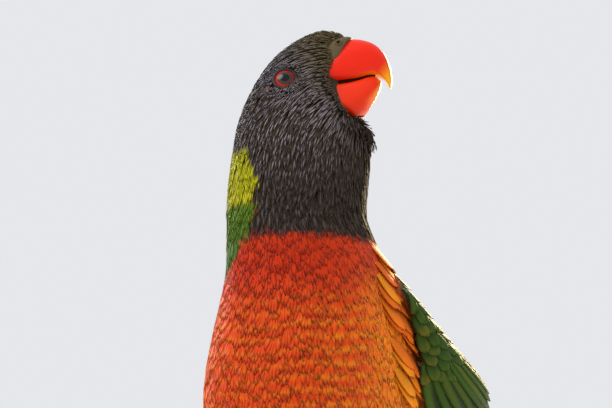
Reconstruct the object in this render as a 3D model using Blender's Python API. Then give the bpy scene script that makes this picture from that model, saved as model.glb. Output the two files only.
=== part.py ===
"""A rainbow lorikeet at life size, standing upright with its tail laid on the floor.

The breast faces -Y, the bird's left is +X and the floor is z = 0. The head is turned
to the bird's left and tilted up. Every named size is in millimetres; make_object
turns them into metres.
"""
import math
import random

import bmesh
import bpy
from mathutils import Vector

METRES = 0.001
GAP = 0.3
CUT_GAP = 0.4

# Head and neck. A profile point is (ahead, up), measured from the eye in the plane
# that halves the head; a station is its crown point, its throat point and a half width.
EYE_HEIGHT = 182.0
EYE_AHEAD = -5.2
HEAD_TURN = math.radians(22)
CROWN_ROLL = math.radians(9)
ROLL_START = 125.0
ROLL_LENGTH = 40.0
HEAD_STATIONS = [
    (24.6, 16.0, 29.0, -13.6, 4.8),
    (20.8, 19.2, 30.6, -16.6, 6.6),
    (14.2, 20.3, 31.8, -19.0, 9.2),
    (5.8, 17.0, 32.8, -21.5, 12.2),
    (-3.4, 9.9, 33.3, -24.5, 15.4),
    (-10.8, -0.8, 33.4, -29.5, 18.2),
    (-16.9, -15.6, 33.0, -35.5, 21.0),
]
NECK_STATIONS = [
    (-16.9, -15.6, 33.0, -35.5, 21.0),
    (-19.2, -28.5, 32.4, -42.0, 23.2),
    (-20.8, -42.0, 32.0, -48.0, 24.8),
    (-21.5, -54.0, 32.0, -54.0, 26.2),
]
HEAD_SQUARENESS = (2.4, 2.4)
NECK_SQUARENESS = (2.4, 2.0)
HEAD_SIDES = 26
HEAD_RINGS = 14
NECK_RINGS = 8

# Eyes, lids and the sockets they sit in.
EYE_PLACE = (1.9, -4.1)
EYE_SIZE = (5.0, 5.0, 3.6)
EYE_DEPTH = 11.6
EYE_LOOK = (0.08, 0.22, 1.0)
LID_RADIUS = 4.3
LID_TUBE = 0.85
LID_TUBE_HEIGHT = 1.36
LID_STAND = 0.5
LID_TURNS = 14
LID_SIDES = 5
EYE_RINGS = 8
EYE_SIDES = 14

# Bill. Each station is its outer point, its cutting point and a half width.
UPPER_BILL = [
    (21.0, 13.6, 14.5, -2.4, 8.3),
    (25.6, 15.9, 18.6, -2.2, 8.4),
    (29.8, 15.8, 23.2, -1.7, 8.0),
    (34.0, 14.4, 28.2, -0.6, 7.1),
    (37.3, 11.7, 32.4, 1.0, 5.9),
    (39.5, 8.2, 35.3, 1.6, 4.5),
    (40.8, 4.2, 37.5, 0.8, 3.1),
    (41.3, 0.0, 39.2, -0.8, 1.8),
    (41.0, -3.8, 40.6, -3.6, 0.4),
]
LOWER_BILL = [
    (24.0, -14.6, 16.0, -3.0, 7.6),
    (28.2, -15.6, 20.0, -2.8, 7.6),
    (31.4, -13.0, 24.2, -2.2, 6.8),
    (34.0, -9.0, 28.6, -1.1, 5.7),
    (36.0, -5.4, 32.4, 0.4, 4.3),
    (37.0, -2.8, 34.8, 0.9, 2.6),
    (37.3, -0.9, 36.3, 0.2, 0.8),
]
BILL_SQUARENESS = (2.3, 2.3)
CUTTING_SQUARENESS = 4.0
BILL_SIDES = 16
UPPER_BILL_RINGS = 14
LOWER_BILL_RINGS = 10

# Cere and nostrils.
CERE_PLACE = (23.4, 14.0)
CERE_SIZE = (4.6, 5.8, 3.6)
NOSTRIL_PLACE = (23.0, 15.0)
NOSTRIL_MOUTH = 7.6
NOSTRIL_FLOOR = 3.8
NOSTRIL_RADIUS = 0.9

# Torso. A station is its belly point (y, z), its back point (y, z) and a half width.
TORSO_STATIONS = [
    (-26.5, 127.7, 26.7, 127.7, 26.4),
    (-24.9, 117.0, 32.5, 120.0, 28.0),
    (-23.4, 106.5, 38.5, 111.0, 29.8),
    (-25.4, 95.0, 44.5, 101.5, 32.0),
    (-29.0, 82.0, 50.5, 91.0, 34.6),
    (-32.8, 69.0, 56.0, 80.0, 36.3),
    (-34.4, 55.0, 61.0, 69.0, 37.0),
    (-30.8, 41.5, 66.0, 58.5, 36.4),
    (-21.0, 31.0, 70.5, 50.0, 34.0),
    (-4.0, 25.5, 74.5, 43.5, 29.5),
    (18.0, 23.5, 77.5, 39.0, 24.0),
    (40.0, 22.0, 79.5, 36.0, 18.0),
    (60.0, 21.0, 81.0, 33.5, 12.5),
]
TORSO_SQUARENESS = 2.25
TORSO_ROUND_TOP = 0.25
TORSO_SIDES = 28
TORSO_RINGS = 20

# Folded left wing; the right one mirrors it. Three lines run from the wrist to the tip.
WING_LOWER = [(35.5, 22, 100), (38.5, 27, 76), (39, 34, 52), (36, 56, 36), (27, 88, 29), (15.2, 122, 20.8)]
WING_MIDDLE = [(30.5, 22, 108), (43.5, 37, 85), (47.5, 62, 66), (40, 84, 48), (27, 104, 34), (14.6, 123, 22.8)]
WING_UPPER = [(22, 30, 116), (18, 47, 98), (15, 68, 76), (10, 86, 57), (8.5, 105, 40), (12.6, 124, 24.4)]
WING_DEPTH = [(8.0,), (13.0,), (16.0,), (10.0,), (4.5,), (2.0,)]
WING_CORE_END = 0.9
WING_CORE_DROP = 1.5
WING_CORE_DROP_END = 0.3
WING_CORE_INSET = 0.045
WING_RINGS = 15
WING_SPAN_POINTS = 9
LEAST_WING_GIRTH = 16.0
LEAST_WING_PITCH = 4.0

# Feathers. A blade is its width at even steps from root to tip, as a share of the widest.
VANE_THICKNESS = 0.6
VANE_ROWS = 4
VANE_COLUMNS = 3
VANE_SPACING = 0.95
COVERT_BLADE = [(0.7,), (1.0,), (0.95,), (0.3,)]
FLIGHT_BLADE = [(0.6,), (1.0,), (0.9,), (0.25,)]
TAIL_BLADE = [(0.5,), (0.9,), (0.9,), (0.12,)]

# Tiers of the wing: how many, roots and tips as (across, place) of the first and the
# last feather, half width, height over the wing's surface at root and tip, blade.
WING_TIERS = [
    (7, (0.14, 0.12), (0.90, 0.10), (0.12, 0.34), (0.92, 0.34), 5.4, -1.2, 1.5, COVERT_BLADE),
    (7, (0.10, 0.25), (0.92, 0.22), (0.10, 0.50), (0.92, 0.52), 6.4, -1.6, 1.3, COVERT_BLADE),
    (8, (0.12, 0.40), (0.90, 0.36), (0.14, 0.66), (0.92, 0.78), 6.2, -2.0, 1.0, FLIGHT_BLADE),
    (7, (0.10, 0.52), (0.72, 0.50), (0.20, 1.00), (0.84, 0.80), 6.0, -2.2, 0.6, FLIGHT_BLADE),
]

# Tail. It slopes from the rump to the floor; pairs of feathers shorten outwards.
TAIL_ROOT_Y = 62.0
TAIL_ROOT_Z = 31.0
TAIL_TIP_Y = 187.0
TAIL_FLOOR_Y = 174.0
TAIL_DROP = 3.2
TAIL_CORE = [(62, 10.0, 6.0), (70, 11.0, 5.4), (80, 11.0, 4.4), (91, 9.0, 3.0), (101, 5.5, 1.5)]
RECTRIX_ROOT_Y = 77.0
RECTRIX_HALF_WIDTH = 6.3
RECTRIX_TIPS = [(4.4, 1.0), (9.0, 0.93), (12.6, 0.84), (15.2, 0.74), (17.0, 0.64), (18.0, 0.53)]
RECTRIX_ROOT_STEP = 1.5
RECTRIX_ROOT_MIDDLE = 0.7
RECTRIX_LAYER = 1.1
TAIL_ARCH = 0.006
TAIL_SIDES = 14
TAIL_COVERT_ROUNDING = 7.0
TAIL_COVERT_ARCH = 2.2
TAIL_COVERTS = [
    # how many, root y, tip y, half spread, half width, height at root and tip
    (6, 79.0, 104.0, 9.0, 4.4, -1.2, 1.6),
    (5, 70.0, 113.0, 7.5, 5.0, -7.6, -7.6),
]

# Legs and feet, left side; the right side mirrors them.
THIGH_PATH = [(14.5, 10, 42), (15.0, 18, 33), (15.5, 26, 23.5), (15.5, 30, 17.5)]
THIGH_RADII = [9.0, 9.5, 6.6, 3.6]
TARSUS_PATH = [(15.5, 30.2, 17.0), (15.6, 28.5, 12.5), (15.9, 25.5, 7.0), (16.0, 23.5, 3.2)]
TARSUS_RADII = [2.7, 2.4, 2.5, 3.2]
TOE_ROOT = (16.0, 23.0, 2.4)
TOES = {
    "inner_front": (-102, 13.0, 2.5, 1.9),
    "outer_front": (-72, 19.0, 2.6, 1.9),
    "outer_back": (62, 16.0, 2.5, 1.8),
    "inner_back": (112, 9.5, 2.3, 1.7),
}
TOE_STEPS = 4
TOE_FLAT = 0.5
THIGH_SIDES = 12
LIMB_SIDES = 8
LIMB_TWIST = (0.31, 0.17, 0.94)
FLOOR_LOW = (-60, -60, -20)
FLOOR_HIGH = (60, 90, 0)
CLAW_LENGTH = 7.0
CLAW_STEPS = 6
CLAW_SIDES = 6
CLAW_LEVEL_PART = 0.2
CLAW_ARCH = 0.9
CLAW_TIP_HEIGHT = 0.75
CLAW_ROOT_SHARE = 0.72
CLAW_TIP_RADIUS = 0.25


def mix(first, last, part):
    return first + (last - first) * part


def smooth_step(value):
    value = min(max(value, 0.0), 1.0)
    return value * value * (3.0 - 2.0 * value)


def rounded(angle, squareness):
    """Cosine and sine of an angle on an ellipse that bulges towards its box."""
    power = 2.0 / squareness
    cosine = math.copysign(abs(math.cos(angle)) ** power, math.cos(angle))
    sine = math.copysign(abs(math.sin(angle)) ** power, math.sin(angle))
    return cosine, sine


def along(stations, place):
    """A smooth value between stations; place runs from 0 to 1."""
    reach = place * (len(stations) - 1)
    first = min(int(reach), len(stations) - 2)
    part = reach - first
    rows = [stations[min(max(first + step, 0), len(stations) - 1)] for step in (-1, 0, 1, 2)]
    weights = (
        0.5 * (-part + 2.0 * part**2 - part**3),
        0.5 * (2.0 - 5.0 * part**2 + 3.0 * part**3),
        0.5 * (part + 4.0 * part**2 - 3.0 * part**3),
        0.5 * (part**3 - part**2),
    )
    return tuple(sum(w * row[k] for w, row in zip(weights, rows)) for k in range(len(rows[0])))


def make_material(name, colour, roughness):
    material = bpy.data.materials.new(name)
    material.use_nodes = True
    shader = material.node_tree.nodes["Principled BSDF"]
    shader.inputs["Base Color"].default_value = (*colour, 1.0)
    shader.inputs["Roughness"].default_value = roughness
    shader.inputs["Metallic"].default_value = 0.0
    return material


def make_object(name, points, faces, material=None):
    mesh = bpy.data.meshes.new(name)
    mesh.from_pydata([Vector(point) * METRES for point in points], [], faces)
    edit = bmesh.new()
    edit.from_mesh(mesh)
    bmesh.ops.triangulate(edit, faces=edit.faces)
    bmesh.ops.recalc_face_normals(edit, faces=edit.faces)
    edit.to_mesh(mesh)
    edit.free()
    mesh.shade_smooth()
    result = bpy.data.objects.new(name, mesh)
    bpy.context.scene.collection.objects.link(result)
    if material:
        mesh.materials.append(material)
    return result


def loft(name, rings, material=None, fan=True):
    """Join rings of equal length into one closed tube; a fan end meets at the ring's middle."""
    count = len(rings[0])
    points = [point for ring in rings for point in ring]
    faces = []
    for row in range(len(rings) - 1):
        for side in range(count):
            near = row * count + side
            after = row * count + (side + 1) % count
            faces.append((near, after, after + count, near + count))
    for first, ring in ((0, rings[0]), ((len(rings) - 1) * count, rings[-1])):
        if fan:
            points.append(sum(ring, Vector()) / count)
            faces += [(first + side, first + (side + 1) % count, len(points) - 1) for side in range(count)]
        else:
            faces.append(tuple(first + side for side in range(count)))
    return make_object(name, points, faces, material)


def tube(name, centres, radii, sides, material=None):
    """A round limb through the given centres."""
    centres = [Vector(centre) for centre in centres]
    rings = []
    for index, centre in enumerate(centres):
        before = centres[max(index - 1, 0)]
        after = centres[min(index + 1, len(centres) - 1)]
        heading = (after - before).normalized()
        across = heading.cross(Vector(LIMB_TWIST)).normalized()
        upward = across.cross(heading)
        ring = []
        for side in range(sides):
            angle = math.tau * side / sides
            ring.append(centre + radii[index] * (math.cos(angle) * across + math.sin(angle) * upward))
        rings.append(ring)
    return loft(name, rings, material)


def ball(name, centre, sizes, axes, material=None, rings=10, sides=16):
    """An ellipsoid along three axes; its poles lie on the last of them."""
    points = []
    for row in range(1, rings):
        tilt = math.pi * row / rings
        for side in range(sides):
            angle = math.tau * side / sides
            parts = (math.sin(tilt) * math.cos(angle), math.sin(tilt) * math.sin(angle), math.cos(tilt))
            offset = sum((axis * size * part for axis, size, part in zip(axes, sizes, parts)), Vector())
            points.append(centre + offset)
    top = len(points)
    points.append(centre + axes[2] * sizes[2])
    points.append(centre - axes[2] * sizes[2])
    faces = []
    for row in range(rings - 2):
        for side in range(sides):
            near = row * sides + side
            after = row * sides + (side + 1) % sides
            faces.append((near, after, after + sides, near + sides))
    for side in range(sides):
        after = (side + 1) % sides
        faces.append((top, after, side))
        faces.append((top + 1, (rings - 2) * sides + side, (rings - 2) * sides + after))
    return make_object(name, points, faces, material)


def swollen(source, amount):
    """A copy of a solid whose surface stands out by a small amount."""
    copy = bpy.data.objects.new(source.name + ".room", source.data.copy())
    bpy.context.scene.collection.objects.link(copy)
    normals = [vertex.normal.copy() for vertex in copy.data.vertices]
    for vertex, normal in zip(copy.data.vertices, normals):
        vertex.co += normal * amount * METRES
    return copy


def keep_largest(target):
    """Drop loose scraps and sealed hollows, so that one closed surface is left."""
    edit = bmesh.new()
    edit.from_mesh(target.data)
    unseen = set(edit.verts)
    islands = []
    while unseen:
        start = unseen.pop()
        island = {start}
        queue = [start]
        while queue:
            for edge in queue.pop().link_edges:
                for vertex in edge.verts:
                    if vertex in unseen:
                        unseen.discard(vertex)
                        island.add(vertex)
                        queue.append(vertex)
        islands.append(island)
    islands.sort(key=len)
    for island in islands[:-1]:
        bmesh.ops.delete(edit, geom=list(island), context="VERTS")
    edit.to_mesh(target.data)
    edit.free()


def combine(target, others, operation, solver="EXACT"):
    """Join solids to the target, or cut them out of it, in one step."""
    group = bpy.data.collections.new("combine")
    for other in others:
        group.objects.link(other)
    modifier = target.modifiers.new("combine", "BOOLEAN")
    modifier.operation = operation
    modifier.operand_type = "COLLECTION"
    modifier.collection = group
    modifier.solver = solver
    view = bpy.context.evaluated_depsgraph_get()
    view.update()
    fused = bpy.data.meshes.new_from_object(target.evaluated_get(view))
    target.modifiers.clear()
    target.data = fused
    for other in others:
        bpy.data.objects.remove(other)
    bpy.data.collections.remove(group)
    keep_largest(target)
    return target


def mirrored(source, name):
    """The same solid on the bird's other side."""
    mesh = source.data.copy()
    for vertex in mesh.vertices:
        vertex.co.x = -vertex.co.x
    mesh.flip_normals()
    copy = bpy.data.objects.new(name, mesh)
    bpy.context.scene.collection.objects.link(copy)
    return copy


def head_point(ahead, up, aside):
    """A point of the head or neck; aside is positive towards the bird's right."""
    forward = Vector((math.cos(HEAD_TURN), math.sin(HEAD_TURN), 0.0))
    right = Vector((math.sin(HEAD_TURN), -math.cos(HEAD_TURN), 0.0))
    height = EYE_HEIGHT + up
    rise = max(height - ROLL_START, 0.0)
    roll = CROWN_ROLL * smooth_step(rise / ROLL_LENGTH)
    if rise < ROLL_LENGTH:
        lean = rise * rise / (2.0 * ROLL_LENGTH)
    else:
        lean = rise - ROLL_LENGTH / 2.0
    point = forward * (ahead + EYE_AHEAD) + Vector((0.0, 0.0, height))
    point -= right * lean * math.sin(CROWN_ROLL)
    return point + aside * (right * math.cos(roll) + Vector((0.0, 0.0, math.sin(roll))))


def head_axes():
    """Forward, right and up of the rolled head."""
    origin = head_point(0.0, 0.0, 0.0)
    forward = (head_point(1.0, 0.0, 0.0) - origin).normalized()
    right = (head_point(0.0, 0.0, 1.0) - origin).normalized()
    return forward, right, right.cross(forward)


def head_rings(stations, count, sides, squareness, end_squareness, low=None, start_shift=0.0, end_shift=0.0):
    """Rings through profile stations.

    A low squareness shapes the half of each ring that lies towards its second point,
    and a shift moves the first or last ring down the neck.
    """
    rings = []
    for row in range(count):
        place = row / (count - 1)
        top_x, top_z, low_x, low_z, width = along(stations, place)
        span = Vector((top_x - low_x, top_z - low_z))
        normal = Vector((-span.y, span.x)).normalized()
        shift = start_shift if row == 0 else end_shift if row == count - 1 else 0.0
        ring = []
        for side in range(sides):
            angle = math.tau * side / sides
            shape = mix(squareness, end_squareness, place)
            cosine, sine = rounded(angle, low if low and math.cos(angle) < 0.0 else shape)
            ahead = (top_x + low_x) / 2.0 + span.x / 2.0 * cosine + normal.x * shift
            up = (top_z + low_z) / 2.0 + span.y / 2.0 * cosine + normal.y * shift
            ring.append(head_point(ahead, up, width * sine))
        rings.append(ring)
    return rings


def make_bill(material):
    shape = (*BILL_SQUARENESS, CUTTING_SQUARENESS)
    upper = loft("beak_upper", head_rings(UPPER_BILL, UPPER_BILL_RINGS, BILL_SIDES, *shape), material)
    lower = loft("beak_lower", head_rings(LOWER_BILL, LOWER_BILL_RINGS, BILL_SIDES, *shape), material)
    return [upper, lower]


def eye_axes(side):
    """Two directions across an eye, and the way that it looks."""
    forward, right, up = head_axes()
    look = (forward * EYE_LOOK[0] + up * EYE_LOOK[1] + right * side * EYE_LOOK[2]).normalized()
    across = (forward - look * forward.dot(look)).normalized()
    return across, look.cross(across), look


def make_eyes(material):
    eyes = []
    for name, side in (("eye_right", 1), ("eye_left", -1)):
        centre = head_point(*EYE_PLACE, side * EYE_DEPTH)
        eyes.append(ball(name, centre, EYE_SIZE, eye_axes(side), material, EYE_RINGS, EYE_SIDES))
    return eyes


def make_lids():
    """A rounded ring of bare skin round each eye."""
    lids = []
    for side in (1, -1):
        across, along_lid, look = eye_axes(side)
        stand = EYE_SIZE[2] * math.sqrt(1.0 - (LID_RADIUS / EYE_SIZE[0]) ** 2) + LID_STAND
        centre = head_point(*EYE_PLACE, side * EYE_DEPTH) + look * stand
        points = []
        for turn in range(LID_TURNS):
            angle = math.tau * turn / LID_TURNS
            outward = across * math.cos(angle) + along_lid * math.sin(angle)
            for step in range(LID_SIDES):
                bend = math.tau * step / LID_SIDES
                offset = outward * (LID_RADIUS + LID_TUBE * math.cos(bend))
                points.append(centre + offset + look * LID_TUBE_HEIGHT * math.sin(bend))
        faces = []
        for turn in range(LID_TURNS):
            after = (turn + 1) % LID_TURNS
            for step in range(LID_SIDES):
                beside = (step + 1) % LID_SIDES
                near = turn * LID_SIDES
                ahead = after * LID_SIDES
                faces.append((near + step, near + beside, ahead + beside, ahead + step))
        lids.append(make_object("lid", points, faces))
    return lids


def make_head(material, bill, eyes):
    forward, right, up = head_axes()
    rings = head_rings(HEAD_STATIONS, HEAD_RINGS, HEAD_SIDES, *HEAD_SQUARENESS, end_shift=-GAP / 2)
    head = loft("head", rings, material)
    cere_centre = head_point(*CERE_PLACE, 0.0)
    cere = ball("cere", cere_centre, CERE_SIZE, (forward, right, up), rings=7, sides=10)
    combine(head, [cere] + make_lids(), "UNION")
    room = [swollen(piece, GAP) for piece in bill + eyes]
    for side in (1, -1):
        start = head_point(*NOSTRIL_PLACE, side * NOSTRIL_MOUTH)
        end = head_point(*NOSTRIL_PLACE, side * NOSTRIL_FLOOR)
        room.append(tube("nostril", [start, end], [NOSTRIL_RADIUS] * 2, LIMB_SIDES))
    return combine(head, room, "DIFFERENCE")


def make_neck(material):
    rings = head_rings(NECK_STATIONS, NECK_RINGS, HEAD_SIDES, *NECK_SQUARENESS, start_shift=GAP / 2)
    return loft("neck", rings, material)


def torso_ring(place):
    belly_y, belly_z, back_y, back_z, width = along(TORSO_STATIONS, place)
    ring = []
    for side in range(TORSO_SIDES):
        squareness = mix(NECK_SQUARENESS[1], TORSO_SQUARENESS, smooth_step(place / TORSO_ROUND_TOP))
        cosine, sine = rounded(math.tau * side / TORSO_SIDES, squareness)
        y = (belly_y + back_y) / 2.0 + (back_y - belly_y) / 2.0 * cosine
        z = (belly_z + back_z) / 2.0 + (back_z - belly_z) / 2.0 * cosine
        ring.append(Vector((width * sine, y, z)))
    return ring


def make_torso(material, cutters):
    rings = [torso_ring(row / (TORSO_RINGS - 1)) for row in range(TORSO_RINGS)]
    torso = loft("torso", rings, material)
    return combine(torso, cutters, "DIFFERENCE")


def wing_point(across, place):
    """A point of the left wing's outer surface: across from its lower to its upper edge."""
    lower = Vector(along(WING_LOWER, place))
    middle = Vector(along(WING_MIDDLE, place))
    upper = Vector(along(WING_UPPER, place))
    control = 2.0 * middle - (lower + upper) / 2.0
    return lower * (1 - across) ** 2 + control * 2.0 * across * (1 - across) + upper * across**2


def wing_normal(across, place):
    """The outward direction there."""
    step = 0.02
    place = min(place, 0.96)
    over = wing_point(min(across + step, 1.0), place) - wing_point(max(across - step, 0.0), place)
    down = wing_point(across, min(place + step, 1.0)) - wing_point(across, max(place - step, 0.0))
    return down.cross(over).normalized()


def wing_girth(place):
    """Length across the wing's outer surface."""
    marks = [wing_point(step / 6, place) for step in range(7)]
    return sum((after - before).length for before, after in zip(marks, marks[1:]))


def vane(place_at):
    """A thin feather; place_at gives its middle surface and outward direction."""
    points = []
    for row in range(VANE_ROWS):
        part = row / (VANE_ROWS - 1)
        half = VANE_THICKNESS / 2.0
        for side in (1, -1):
            for column in range(VANE_COLUMNS):
                middle, outward = place_at(part, column - 1)
                points.append(middle + outward * half * side)
    faces = []
    width = 2 * VANE_COLUMNS
    for row in range(VANE_ROWS - 1):
        for under in (0, VANE_COLUMNS):
            for column in range(VANE_COLUMNS - 1):
                near = row * width + under + column
                faces.append((near, near + 1, near + width + 1))
                faces.append((near, near + width + 1, near + width))
        for column in (0, VANE_COLUMNS - 1):
            near = row * width + column
            below = near + VANE_COLUMNS
            faces.append((near, below, below + width, near + width))
    for row in (0, VANE_ROWS - 1):
        for column in range(VANE_COLUMNS - 1):
            near = row * width + column
            below = near + VANE_COLUMNS
            faces.append((near, near + 1, below + 1, below))
    return make_object("vane", points, faces)


def wing_tier(tier, draw):
    """One row of overlapping feathers on the left wing."""
    count, root_first, root_last, tip_first, tip_last, half_width, low, high, blade = tier
    vanes = []
    spread = root_last[0] - root_first[0]
    for index in range(count):
        part_across = index / (count - 1)
        root = [mix(a, b, part_across) for a, b in zip(root_first, root_last)]
        tip = [mix(a, b, part_across) for a, b in zip(tip_first, tip_last)]
        tip[1] = min(tip[1] + draw.uniform(-0.012, 0.012), 1.0)
        width = half_width * draw.uniform(0.95, 1.05)

        def place_at(part, aside, root=root, tip=tip, width=width):
            place = mix(root[1], tip[1], part)
            girth = max(wing_girth(place), LEAST_WING_GIRTH)
            pitch = girth * spread / (count - 1)
            reach = width * along(blade, part)[0]
            across = mix(root[0], tip[0], part) + aside * reach / girth
            across = min(max(across, 0.0), 1.0)
            tilt = VANE_SPACING * reach / max(pitch, LEAST_WING_PITCH)
            outward = wing_normal(across, place)
            return wing_point(across, place) + outward * (mix(low, high, part) - aside * tilt), outward

        vanes.append(vane(place_at))
    return vanes


def make_wing_core(material):
    """The left wing's solid bed, from the wrist to a share of its length."""
    rings = []
    for row in range(WING_RINGS):
        place = WING_CORE_END * row / (WING_RINGS - 1)
        depth = along(WING_DEPTH, place)[0]
        inset = WING_CORE_INSET * smooth_step(place / WING_CORE_DROP_END - 1.0)
        spread = [mix(inset, 1.0 - inset, step / (WING_SPAN_POINTS - 1)) for step in range(WING_SPAN_POINTS)]
        lowered = WING_CORE_DROP * smooth_step(place / WING_CORE_DROP_END)
        outer = [wing_point(across, place) - wing_normal(across, place) * lowered for across in spread]
        inner = []
        for across in reversed(spread[1:-1]):
            bulge = math.sqrt(math.sin(math.pi * across))
            inner.append(wing_point(across, place) - wing_normal(across, place) * (depth * bulge + lowered))
        rings.append(outer + inner)
    return loft("wing_left", rings, material, fan=False)


def make_wing(material, draw):
    """The left wing, and the room that the torso leaves for it."""
    wing = make_wing_core(material)
    room = swollen(wing, CUT_GAP)
    vanes = [piece for tier in WING_TIERS for piece in wing_tier(tier, draw)]
    return combine(wing, vanes, "UNION", "MANIFOLD"), room


def tail_height(y):
    """Height of the tail's upper face."""
    slope = (y - TAIL_ROOT_Y) / (TAIL_FLOOR_Y - TAIL_ROOT_Y)
    return TAIL_ROOT_Z + (VANE_THICKNESS - TAIL_ROOT_Z) * min(slope, 1.0)


def rectrix(rank, side, draw):
    """A tail feather; rank 0 is the longest, in the middle."""
    tip_x, share = RECTRIX_TIPS[rank]
    length = (TAIL_TIP_Y - RECTRIX_ROOT_Y) * share * (1.0 if rank == 0 else draw.uniform(0.985, 1.0))
    level = RECTRIX_LAYER * (rank + (0.5 if side > 0 else 0.0))

    def place_at(part, aside):
        y = RECTRIX_ROOT_Y + length * part
        reach = RECTRIX_HALF_WIDTH * along(TAIL_BLADE, part)[0]
        x = side * mix(RECTRIX_ROOT_STEP * (rank + RECTRIX_ROOT_MIDDLE), tip_x, part) + aside * reach
        settle = 1.0 - part**3 if rank == 0 else 1.0
        height = tail_height(y) - VANE_THICKNESS / 2.0 - (level + TAIL_ARCH * x * x) * settle
        height = max(height, VANE_THICKNESS / 2.0)
        return Vector((x, y, height)), Vector((0, 0, 1))

    return vane(place_at)


def tail_covert_row(row, draw):
    """Short feathers that cover the roots of the tail, from above or below."""
    count, root_y, tip_y, spread, half_width, low, high = row
    vanes = []
    for index in range(count):
        share = 2.0 * index / (count - 1) - 1.0
        end_y = tip_y - TAIL_COVERT_ROUNDING * share * share + draw.uniform(-1.0, 1.0)
        arch = TAIL_COVERT_ARCH * share * share * (-1.0 if high > 0 else 1.0)
        step = VANE_SPACING * 0.5 * (-1.0) ** index

        def place_at(part, aside, share=share, end_y=end_y, arch=arch, step=step):
            y = mix(root_y, end_y, part)
            reach = half_width * along(COVERT_BLADE, part)[0]
            x = spread * share * mix(0.75, 1.0, part) + aside * reach
            height = tail_height(y) + mix(low, high, part) + arch + step
            return Vector((x, y, height)), Vector((0, 0, 1))

        vanes.append(vane(place_at))
    return vanes


def make_tail(material, draw):
    """The tail, and the room that the torso leaves for its root."""
    rings = []
    for y, half_width, half_depth in TAIL_CORE:
        middle = tail_height(y) - TAIL_DROP
        ring = []
        for side in range(TAIL_SIDES):
            angle = math.tau * side / TAIL_SIDES
            offset = Vector((half_width * math.cos(angle), 0, half_depth * math.sin(angle)))
            ring.append(Vector((0, y, middle)) + offset)
        rings.append(ring)
    tail = loft("tail", rings, material)
    room = swollen(tail, CUT_GAP)
    vanes = [rectrix(rank, side, draw) for rank in range(len(RECTRIX_TIPS)) for side in (1, -1)]
    for row in TAIL_COVERTS:
        vanes += tail_covert_row(row, draw)
    return combine(tail, vanes, "UNION", "MANIFOLD"), room


def make_leg(materials):
    """The left thigh, foot and claws."""
    thigh = tube("thigh_left", THIGH_PATH, THIGH_RADII, THIGH_SIDES, materials["green"])
    foot = tube("foot_left", TARSUS_PATH, TARSUS_RADII, LIMB_SIDES, materials["foot"])
    root = Vector(TOE_ROOT)
    toes = []
    claws = []
    for name, (bearing, length, thick, thin) in TOES.items():
        turn = math.radians(bearing)
        heading = Vector((math.cos(turn), math.sin(turn), 0.0))
        centres = []
        radii = []
        for step in range(TOE_STEPS):
            part = step / (TOE_STEPS - 1)
            radius = mix(thick, thin, part)
            centres.append(root + heading * length * part + Vector((0, 0, radius - TOE_FLAT - root.z)))
            radii.append(radius)
        toes.append(tube("toe", centres, radii, LIMB_SIDES))
        claws.append(make_claw("claw_left_" + name, centres[-1], heading, thin, materials["claw"]))
    combine(foot, toes, "UNION")
    floor = make_object("floor", *box_shape(FLOOR_LOW, FLOOR_HIGH))
    combine(foot, [floor, swollen(thigh, GAP)], "DIFFERENCE")
    return thigh, foot, claws


def make_claw(name, toe_end, heading, toe_radius, material):
    """A hooked claw that starts just past the toe and ends just above the floor."""
    centres = []
    radii = []
    for step in range(CLAW_STEPS):
        part = step / (CLAW_STEPS - 1)
        arch = CLAW_ARCH * math.sin(math.pi * max(part - CLAW_LEVEL_PART, 0.0) / (1.0 - CLAW_LEVEL_PART))
        drop = (toe_end.z - CLAW_TIP_HEIGHT) * part**2
        reach = GAP + CLAW_LENGTH * part
        centres.append(toe_end + heading * reach + Vector((0, 0, arch - drop)))
        radii.append(max(toe_radius * CLAW_ROOT_SHARE * (1.0 - part) ** 0.7, CLAW_TIP_RADIUS))
    return tube(name, centres, radii, CLAW_SIDES, material)


def box_shape(low, high):
    points = [(x, y, z) for x in (low[0], high[0]) for y in (low[1], high[1]) for z in (low[2], high[2])]
    faces = [(0, 1, 3, 2), (4, 6, 7, 5), (0, 4, 5, 1), (2, 3, 7, 6), (0, 2, 6, 4), (1, 5, 7, 3)]
    return points, faces


def set_down(objects):
    """Move the bird so that the middle of its footprint is the origin."""
    low = [min(vertex.co[k] for piece in objects for vertex in piece.data.vertices) for k in range(3)]
    high = [max(vertex.co[k] for piece in objects for vertex in piece.data.vertices) for k in range(3)]
    shift = Vector(((low[0] + high[0]) / 2.0, (low[1] + high[1]) / 2.0, low[2]))
    for piece in objects:
        for vertex in piece.data.vertices:
            vertex.co -= shift


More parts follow.
